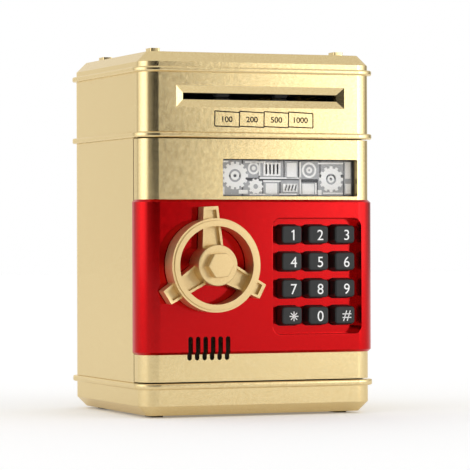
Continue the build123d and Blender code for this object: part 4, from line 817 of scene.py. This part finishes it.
class BANK_OT_door(bpy.types.Operator):
    """Gold door moulding with window, speaker slots, keypad opening and rounded hinge edge"""

    bl_idname = "bank.door"
    bl_label = "Door"

    def execute(self, context):
        s = sizes()
        z0, z1 = DOOR_LOW.z, DOOR_HIGH.z
        back = FRONT + s.door_depth
        hinge_x, hinge_y = HALF_W - s.barrel, back - s.barrel
        door = prism(z0, z1, name="door_moulding")
        cut(door, prism(z0 + s.wall, z1 - s.wall, -s.wall))
        cut(door, block((-2 * HALF_W, back, z0 - OVER), (2 * HALF_W, BACK + OVER, z1 + OVER)))
        cut(door, block((hinge_x, hinge_y, z0 - OVER), (2 * HALF_W, back + OVER, z1 + OVER)))
        add(door, rod((hinge_x, hinge_y), s.barrel, z0, z1, "Z", sides=48))
        self.window_frame(door)
        grow = 2 * (s.pad_wall + FIT)
        cut(door, tile(s.pad_x, s.pad_z, s.pad_width + grow, s.pad_height + grow, s.pad_corner + grow / 2,
                       FRONT - OVER, back + OVER))
        cut(door, *grille_cutters(FRONT - OVER, FRONT + s.wall + OVER))
        shaft_bore, shaft_end, pin_bore, pin_deep = 3.1 * MM, FRONT + 4 * MM, 1.22 * MM, 9 * MM
        cut(door, rod((WHEEL_X, WHEEL_Z), shaft_bore, FRONT - OVER, shaft_end, sides=32))
        for low, high in ((z0 - OVER, z0 + pin_deep), (z1 - pin_deep, z1 + OVER)):
            cut(door, rod((hinge_x, hinge_y), pin_bore, low, high, "Z", sides=24))
        ease(door, 0.3 * MM, 3)
        finish(door, "door", "gold_abs", "door_panel")
        return {"FINISHED"}

    def window_frame(self, door):
        """Frame behind the window's recess, with the seat of the pane and the picture."""
        s = sizes()
        width, height = s.window_width, s.window_height
        recess_end, frame_end = FRONT + s.window_depth, PICTURE_HIGH.y + FIT
        seat = PANE_HIGH.x - PANE_LOW.x - width + FIT
        frame_round, recess_round, overlap = 1.5 * MM, 0.8 * MM, 0.1 * MM
        add(door, tile(s.window_x, s.window_z, width + 2 * LAP, height + 2 * LAP, frame_round,
                       FRONT + s.wall / 2, frame_end, 3))
        cut(door, tile(s.window_x, s.window_z, width, height, recess_round, FRONT - OVER, recess_end + overlap, 4))
        cut(door, tile(s.window_x, s.window_z, width + seat, height + seat, recess_round,
                       recess_end, frame_end + OVER, 4))


def key_places():
    """Middle of each key, from its node and the shift."""
    places = {}
    for name in KEY_NAMES:
        x, z = centre_of("key_" + name, "x", "z")
        places[name] = (x + sizes().key_shift, z)
    return places


class BANK_OT_plate(bpy.types.Operator):
    """Red plate that wraps the door, with the keypad well and the speaker slots"""

    bl_idname = "bank.plate"
    bl_label = "Red plate"

    def execute(self, context):
        s = sizes()
        z0, z1 = PLATE_LOW.z, PLATE_HIGH.z
        plate = prism(z0, z1, s.plate, name="red_plate")
        for place in (z0, z1):
            soften_ring(plate, "Z", place, s.plate_edge)
        cut(plate, prism(z0 - OVER, z1 + OVER))
        # The plate wraps both sides of the door and stops short of its back edge and of the hinge edge.
        left_reach, right_reach = FRONT + 12.1 * MM, FRONT + s.door_depth - s.barrel - 4 * MM
        far, left_round = BACK + 9 * MM, 0.7 * MM
        cut(plate, block((-2 * HALF_W, left_reach, z0 - OVER), (0, far, z1 + OVER)))
        cut(plate, block((-OVER, right_reach, z0 - OVER), (2 * HALF_W, far, z1 + OVER)))
        runs = along("Z")
        bevel(plate, lambda edge: runs(edge) and all(
            abs(v.co.y - left_reach) < CLOSE and abs(v.co.x + HALF_W + s.plate) < 10 * CLOSE for v in edge.verts
        ), left_round, 3)
        self.keypad_well(plate)
        ahead, shaft_bore = FRONT - s.plate - OVER, 3.6 * MM
        cut(plate, *grille_cutters(ahead, FRONT + OVER))
        cut(plate, rod((WHEEL_X, WHEEL_Z), shaft_bore, ahead, FRONT + OVER, sides=32))
        ease(plate, 0.3 * MM, 3)
        finish(plate, "door", "red_metallic", "door_plate")
        return {"FINISHED"}

    def keypad_well(self, plate):
        """Well with a rounded rim and an opening for each key in its floor."""
        s = sizes()
        floor, wall = FRONT - s.plate + s.pad_depth, 2 * s.pad_wall
        add(plate, tile(s.pad_x, s.pad_z, s.pad_width + wall, s.pad_height + wall, s.pad_corner + s.pad_wall,
                        FRONT - s.plate / 2, floor + s.pad_wall))
        cut(plate, tile(s.pad_x, s.pad_z, s.pad_width, s.pad_height, s.pad_corner,
                        FRONT - s.plate - OVER, floor, 8))
        half_w, half_h, rim_round = s.pad_width / 2 + OVER, s.pad_height / 2 + OVER, 0.55 * MM
        bevel(plate, lambda edge: all(
            abs(v.co.y - FRONT + s.plate) < CLOSE
            and abs(v.co.x - s.pad_x) < half_w and abs(v.co.z - s.pad_z) < half_h for v in edge.verts
        ), rim_round, 4)
        play = 0.5 * MM
        for x, z in key_places().values():
            cut(plate, tile(x, z, s.key_width + play, s.key_height + play, s.key_round + play / 2,
                            floor - OVER, floor + s.pad_wall + OVER, 5))


class BANK_OT_wheel(bpy.types.Operator):
    """Handwheel: raised rim, three tapered spokes with channels, hub and hexagonal boss"""

    bl_idname = "bank.wheel"
    bl_label = "Handwheel"

    def execute(self, context):
        s = sizes()
        centre = (WHEEL_X, WHEEL_Z)
        back = FRONT - s.plate - s.wheel_gap
        front = back - s.rim_depth
        hub_front, hub_back = front - s.hub_proud, FRONT - s.plate - FIT
        face_round, hub_round, root = 0.35 * MM, 0.6 * MM, 0.5 * MM
        wheel = rod(centre, s.rim, front + s.rim_step, back, sides=128, name="wheel_casting")
        add(wheel, soften_ring(rod(centre, s.rim_face, front, back, sides=128), "Y", front, face_round, 2))
        cut(wheel, rod(centre, s.rim_bore, front - OVER, back + OVER, sides=128))
        for angle in SPOKE_ANGLES:
            add(wheel, spoke(angle, back))
        add(wheel, soften_ring(rod(centre, s.hub, hub_front, hub_back, sides=96), "Y", hub_front, hub_round, 3))
        ease(wheel, 0.25 * MM, 3)
        finish(wheel, "wheel", "wheel_gold", "handwheel")
        # The hexagon is made on the axis, then turned to suit the first spoke.
        boss = rod((0, 0), s.hexagon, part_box("hex_cap")[0].y, hub_front + root, sides=6, name="wheel_hexagon")
        boss.rotation_euler.y = math.radians(30) - SPOKE_ANGLES[0] + math.pi / 2
        boss.location = (WHEEL_X, 0, WHEEL_Z)
        settle(boss)
        ease(boss, 0.45 * MM, 3)
        finish(boss, "wheel", "wheel_gold", "hex_cap")
        return {"FINISHED"}


def wedge(reach, root, tip, y0, y1):
    """Bar along +X from the axis, narrowing to its tip."""
    bar = block((0, y0, -root / 2), (reach, y1, root / 2))
    pick(bar, "VERT", lambda v: v.co.x > reach / 2)
    bpy.ops.transform.resize(value=(1, 1, tip / root))
    leave()
    return bar


def spoke(angle, back):
    """One spoke with a channel between two ribs, turned to its place."""
    s = sizes()
    front, ribs = back - s.spoke_depth, 2 * s.spoke_rib
    bar = wedge(s.spoke_reach, s.spoke_root, s.spoke_tip, front, back)
    cut(bar, wedge(s.spoke_reach - s.spoke_end, s.spoke_root - ribs, s.spoke_tip - ribs,
                   front - OVER, front + s.spoke_channel))
    bar.rotation_euler.y = -angle
    bar.location = (WHEEL_X, 0, WHEEL_Z)
    return settle(bar)


def bar_between(start, end, width, y0, y1):
    """Flat bar between two points of the front view."""
    (x0, z0), (x1, z1) = start, end
    run = math.hypot(x1 - x0, z1 - z0)
    bar = block((-run / 2, y0, -width / 2), (run / 2, y1, width / 2))
    bar.rotation_euler.y = -math.atan2(z1 - z0, x1 - x0)
    bar.location = ((x0 + x1) / 2, 0, (z0 + z1) / 2)
    return settle(bar)


def join(pieces, name):
    """Join flat prints or reliefs into one piece."""
    only(*pieces)
    bpy.ops.object.join()
    piece = bpy.context.object
    piece.name = piece.data.name = name
    return piece


def lettering(body, height, x, z, y, name, narrow=1.0, thick=0.03, bold=0.0):
    """Figures as a thin print on a face that looks out of the front."""
    only()
    bpy.ops.object.text_add()
    text = bpy.context.object
    text.data.body = body
    text.data.align_x = "CENTER"
    text.data.extrude = 1.0
    text.data.offset = bold
    bpy.ops.object.convert(target="MESH")
    text = bpy.context.object
    corners = [v.co for v in text.data.vertices]
    low = Vector((min(c.x for c in corners), min(c.y for c in corners), 0))
    high = Vector((max(c.x for c in corners), max(c.y for c in corners), 0))
    scale = height / (high.y - low.y)
    middle = (low + high) / 2
    text.rotation_euler.x = math.pi / 2
    text.scale = (scale * narrow, scale, thick * MM / 2)
    text.location = (x - middle.x * scale * narrow, y, z - middle.y * scale)
    settle(text, name)
    pick(text, "VERT", lambda v: True)
    bpy.ops.mesh.remove_doubles(threshold=1e-7)
    leave()
    return text


def star_figure(x, z, y0, y1, height):
    """Eight-armed star, drawn as four crossing bars."""
    half, width = height * 0.46, height * 0.085
    bars = []
    for i in range(4):
        angle = math.pi / 4 * (i + 1)
        dx, dz = math.cos(angle) * half, math.sin(angle) * half
        bars.append(bar_between((x - dx, z - dz), (x + dx, z + dz), width, y0, y1))
    return bars


def hash_figure(x, z, y0, y1, height):
    """Number sign: two level bars and two that lean."""
    width, lean, half = height * 0.095, height * 0.16, height * 0.46
    bars = []
    for side in (-0.19, 0.19):
        dx, dz = height * side, height * side * 0.9
        bars.append(bar_between((x + dx - lean, z - height / 2), (x + dx + lean, z + height / 2), width, y0, y1))
        bars.append(bar_between((x - half, z + dz), (x + half, z + dz), width, y0, y1))
    return bars


class BANK_OT_keys(bpy.types.Operator):
    """Twelve rounded keys with their printed figures"""

    bl_idname = "bank.keys"
    bl_label = "Keys"

    def execute(self, context):
        s = sizes()
        low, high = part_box("key_1")
        width, height, lean = s.key_width, s.key_height, 2 * s.key_draft
        lip_front, overlap = high.y - s.key_lip_depth, 0.1 * MM
        cap = tile(0, 0, width, height, s.key_round, low.y, lip_front + overlap, name="key_master")
        pick_face(cap, low.y)
        bpy.ops.transform.resize(value=(1 - lean / width, 1, 1 - lean / height))
        leave()
        soften_ring(cap, "Y", low.y, s.key_edge, 5)
        lip = 2 * s.key_lip
        add(cap, tile(0, 0, width + lip, height + lip, s.key_round + s.key_lip, lip_front, high.y))
        smooth(cap, 40)
        right, down = 0.95 * MM, 0.3 * MM  # the figures sit towards the lower right of the caps
        for name, (x, z) in key_places().items():
            only(cap)
            bpy.ops.object.duplicate(linked=False)
            key = bpy.context.object
            key.location = (x, 0, z)
            body = "key_" + name + "_body"
            finish(settle(key, "key_cap_" + name), body, "key_black", "key_" + name)
            figure = self.print_figure(name, x + right, z - down, low.y)
            finish(figure, body, "key_black", material="key_white_print")
        bpy.data.objects.remove(cap, do_unlink=True)
        return {"FINISHED"}

    def print_figure(self, name, x, z, face):
        """Figure of one key, a thin print on its face."""
        height = sizes().figure
        y0, y1 = face - 0.04 * MM, face + 0.02 * MM
        if name == "star":
            return join(star_figure(x, z, y0, y1, height), "figure_star")
        if name == "hash":
            return join(hash_figure(x, z, y0, y1, height), "figure_hash")
        figure = lettering(name, height, x, z, face - 0.02 * MM, "figure_" + name, 0.98, 0.06)
        if name == "1":  # it gets a longer flag than the typeface gives it
            stroke = height * 0.12
            flag = bar_between((x - height * 0.22, z + height * 0.28), (x, z + height * 0.43), stroke, y0, y1)
            figure = join([figure, flag], "figure_1")
        return figure


class BANK_OT_values(bpy.types.Operator):
    """Printed row of note values under the note slot, drawn as four overlapping cards"""

    bl_idname = "bank.values"
    bl_label = "Note values"

    def execute(self, context):
        s = sizes()
        y0, y1 = FRONT - 0.03 * MM, FRONT + 0.02 * MM
        values = ("100", "200", "500", "1000")
        width, middle = (s.box_right - s.box_left) / len(values), (s.box_low + s.box_high) / 2
        height, tip, lean = 3.0 * MM, 0.45 * MM, 0.2 * MM
        prints = []
        for i, value in enumerate(values):
            x0, x1 = s.box_left + i * width, s.box_left + (i + 1) * width
            top_left, top_right = (x0, s.box_high + tip), (x1, s.box_high - tip / 2)
            low_left, low_right = (x0 - lean, s.box_low + tip / 2), (x1, s.box_low - tip / 2)
            lines = [(low_left, top_left), (top_left, top_right), (low_left, low_right)]
            if value == values[-1]:
                lines.append((low_right, top_right))
            prints += [bar_between(start, end, s.box_line, y0, y1) for start, end in lines]
            prints.append(lettering(value, height, (x0 + x1) / 2, middle, FRONT, "value", 1.08, 0.05, 0.02))
        finish(join(prints, "note_values"), "case", "black_abs", material="note_print_ink")
        return {"FINISHED"}


class BANK_OT_window(bpy.types.Operator):
    """Made-up machine in low relief behind the clear window"""

    bl_idname = "bank.window"
    bl_label = "Window"

    def execute(self, context):
        low, high, corner = PICTURE_LOW, PICTURE_HIGH, 0.7 * MM
        ground_y, size = high.y - 1.0 * MM, (high.x - low.x, high.z - low.z)
        # The card is a dark sheet of painted shadow behind the plates and the raised parts.
        card = tile(*centre_of("window_picture", "x", "z"), *size, corner, ground_y, high.y, 3, "relief_card")
        pick_face(card, ground_y)
        bpy.ops.mesh.inset(thickness=0.9 * MM, depth=-0.12 * MM)
        leave()
        finish(smooth(card), "door", "silver_card", "window_picture", material="machine_ground_painted_shadow")
        plate_front, root = ground_y - 0.32 * MM, ground_y + 0.2 * MM
        # The plates get the grey of painted shade; the raised parts get the white of the relief.
        for name, pieces, material in (
            ("machine_plates_painted_shade", machine_plates_painted_shade(plate_front, root), "machine_plate_painted_shade"),
            ("machine_relief", machine_parts(low.y, root), "machine_relief"),
        ):
            relief = ease(join(pieces, name), 0.1 * MM)
            finish(relief, "door", "silver_card", "window_picture", material=material)
        low, high = PANE_LOW, PANE_HIGH
        pane = tile(*centre_of("window_pane", "x", "z"), high.x - low.x, high.z - low.z, corner, low.y, high.y, 4,
                    "window_glazing")
        finish(ease(pane, 0.15 * MM), "door", "clear_pane", "window_pane")
        return {"FINISHED"}


def ring_part(x, z, outer, inner, y0, y1, sides=32):
    """Round part, with a hole where it has an inner radius."""
    part = rod((x, z), outer, y0, y1, sides=sides)
    return cut(part, rod((x, z), inner, y0 - OVER, y1 + OVER, sides=sides)) if inner else part


def toothed_part(x, z, radius, teeth, hole, y0, y1):
    """Gear with an even number of square teeth; each bar across it makes two opposite teeth."""
    part = rod((x, z), radius * 0.84, y0, y1, sides=40)
    for i in range(teeth // 2):
        angle = math.pi * 2 * i / teeth
        dx, dz = math.cos(angle) * radius, math.sin(angle) * radius
        add(part, bar_between((x - dx, z - dz), (x + dx, z + dz), radius * 0.24, y0, y1))
    return cut(part, rod((x, z), hole, y0 - OVER, y1 + OVER, sides=24))


def machine_place(x, z):
    """Point of the window, from millimetres right of its left end and above its middle."""
    s = sizes()
    return s.window_x - s.window_width / 2 + x * MM, s.window_z + z * MM


def machine_block(x, z, width, height, front, back):
    """Block of the machine; its middle and size are in millimetres of the window."""
    x0, z0 = machine_place(x - width / 2, z - height / 2)
    return block((x0, front, z0), (x0 + width * MM, back, z0 + height * MM))


def machine_plates_painted_shade(front, back):
    """Flat backing plates of the machine, grey as painted shade; the narrow gaps between them show the dark ground as
    painted shadow.
    """
    return [machine_block(*place, front, back) for place in (
        # x, z, width, height
        (6.6, 5.4, 12.4, 7.6), (6.6, -4.4, 12.4, 9.4), (17.9, 4.6, 8.6, 9.0), (19.0, -5.2, 10.6, 7.6),
        (29.6, 4.6, 13.2, 8.8), (29.4, -5.4, 9.0, 7.4), (40.6, 4.6, 7.6, 8.8), (39.8, -5.0, 10.4, 7.8),
        (51.0, 4.2, 11.0, 9.4), (50.4, -5.6, 9.2, 6.8), (63.6, 5.4, 13.0, 7.0), (62.8, -4.8, 14.2, 8.6),
        (72.6, 0.0, 4.2, 17.6),
    )]


def machine_parts(front, back):
    """Gears, dials, coils and pipes of a made-up machine, at the scale of the window."""
    low = front + 0.25 * MM  # face of the parts that stand out less
    parts = []
    # x, z, outer radius, hole, teeth, sides, stands out fully
    for x, z, radius, hole, teeth, sides, full in (
        (9.0, 1.2, 7.2, 3.4, 14, 0, True), (9.0, 1.2, 2.3, 0.9, 0, 20, True), (20.6, -4.4, 4.2, 1.3, 10, 0, False),
        (19.4, 5.0, 3.2, 2.1, 0, 32, False), (19.4, 5.0, 1.1, 0.0, 0, 16, True), (63.0, -0.4, 6.8, 2.9, 12, 0, True),
        (63.0, -0.4, 1.9, 0.8, 0, 20, False), (50.6, 4.2, 4.1, 3.0, 0, 32, False), (50.6, 4.2, 1.7, 0.6, 0, 20, True),
    ):
        place, face = machine_place(x, z), front if full else low
        if teeth:
            parts.append(toothed_part(*place, radius * MM, teeth, hole * MM, face, back))
        else:
            parts.append(ring_part(*place, radius * MM, hole * MM, face, back, sides))
    # x, z, width, height, stands out fully
    for *place, full in (
        (29.6, 4.6, 9.6, 6.8, True), (40.8, 4.0, 5.6, 8.0, False), (29.4, -5.6, 6.4, 5.8, False),
        (39.8, -5.0, 8.2, 4.2, True), (50.0, -5.6, 6.6, 5.4, True), (72.6, 4.2, 3.0, 8.6, False),
        (72.6, -5.4, 3.0, 5.2, True), (2.0, -6.6, 2.2, 4.0, True), (56.6, -7.4, 2.2, 2.6, False),
        (13.6, -7.2, 5.0, 2.0, False),
    ):
        parts.append(machine_block(*place, front if full else low, back))
    coil = [((x, 2.0), (x, 7.2), 0.9, front) for x in (26.4, 28.5, 30.6, 32.7)]
    louvres = [((x, -6.6), (x + 1.0, -3.4), 0.7, front) for x in (36.9, 38.7, 40.5, 42.3)]
    pipes = [(start, end, 0.8, low) for start, end in (
        ((14.6, 8.2), (26.0, 8.2)), ((22.8, 8.2), (22.8, 1.2)), ((22.8, 0.0), (46.0, 0.0)),
        ((24.8, -1.6), (34.6, -1.6)), ((45.6, -8.4), (45.6, 8.4)), ((55.6, 7.8), (70.0, 7.8)),
        ((54.4, -2.4), (54.4, -8.2)), ((69.8, -7.8), (58.4, -7.8)), ((2.0, 8.4), (5.4, 8.4)),
        ((1.6, -3.4), (1.6, 6.4)), ((33.8, -8.4), (43.6, -8.4)), ((17.2, -8.6), (30.0, -8.6)),
    )]
    for start, end, width, face in coil + louvres + pipes:
        parts.append(bar_between(machine_place(*start), machine_place(*end), width * MM, face, back))
    rivet = 0.55 * MM
    for left, right, foot, top in (
        (27.2, 31.6, -7.4, -3.8), (38.9, 42.7, 7.2, 0.9), (47.7, 52.3, -7.4, -3.8),
    ):
        for place in ((left, foot), (right, foot), (left, top), (right, top)):
            parts.append(rod(machine_place(*place), rivet, front, back, sides=12))
    return parts


PIECES = ("head", "roof", "base", "walls", "door", "plate", "wheel", "keys", "values", "window")


class BANK_PT_panel(bpy.types.Panel):
    """Sizes, colours and pieces of the toy safe"""

    bl_idname = "BANK_PT_panel"
    bl_label = "Toy Safe Bank"
    bl_space_type = "VIEW_3D"
    bl_region_type = "UI"
    bl_category = "Toy Safe"

    def draw(self, context):
        layout = self.layout
        for name in ("finishes", "stage") + PIECES:
            layout.operator("bank." + name)
        for group in (context.scene.bank_colours, context.scene.bank_sizes):
            column = layout.column()
            for key in type(group).__annotations__:
                column.prop(group, key)


CLASSES = [
    BankSizes, BankColours, BANK_OT_finishes, BANK_OT_stage, BANK_OT_head, BANK_OT_roof, BANK_OT_base, BANK_OT_walls,
    BANK_OT_door, BANK_OT_plate, BANK_OT_wheel, BANK_OT_keys, BANK_OT_values, BANK_OT_window,
    BANK_PT_panel,
]


def register():
    for item in CLASSES:
        bpy.utils.register_class(item)
    bpy.types.Scene.bank_sizes = bpy.props.PointerProperty(type=BankSizes)
    bpy.types.Scene.bank_colours = bpy.props.PointerProperty(type=BankColours)


def unregister():
    del bpy.types.Scene.bank_colours
    del bpy.types.Scene.bank_sizes
    for item in reversed(CLASSES):
        bpy.utils.unregister_class(item)


def main():
    register()
    bpy.ops.bank.finishes()
    bpy.ops.bank.stage()
    for name in PIECES:
        getattr(bpy.ops.bank, name)()


if __name__ == "__main__":
    main()
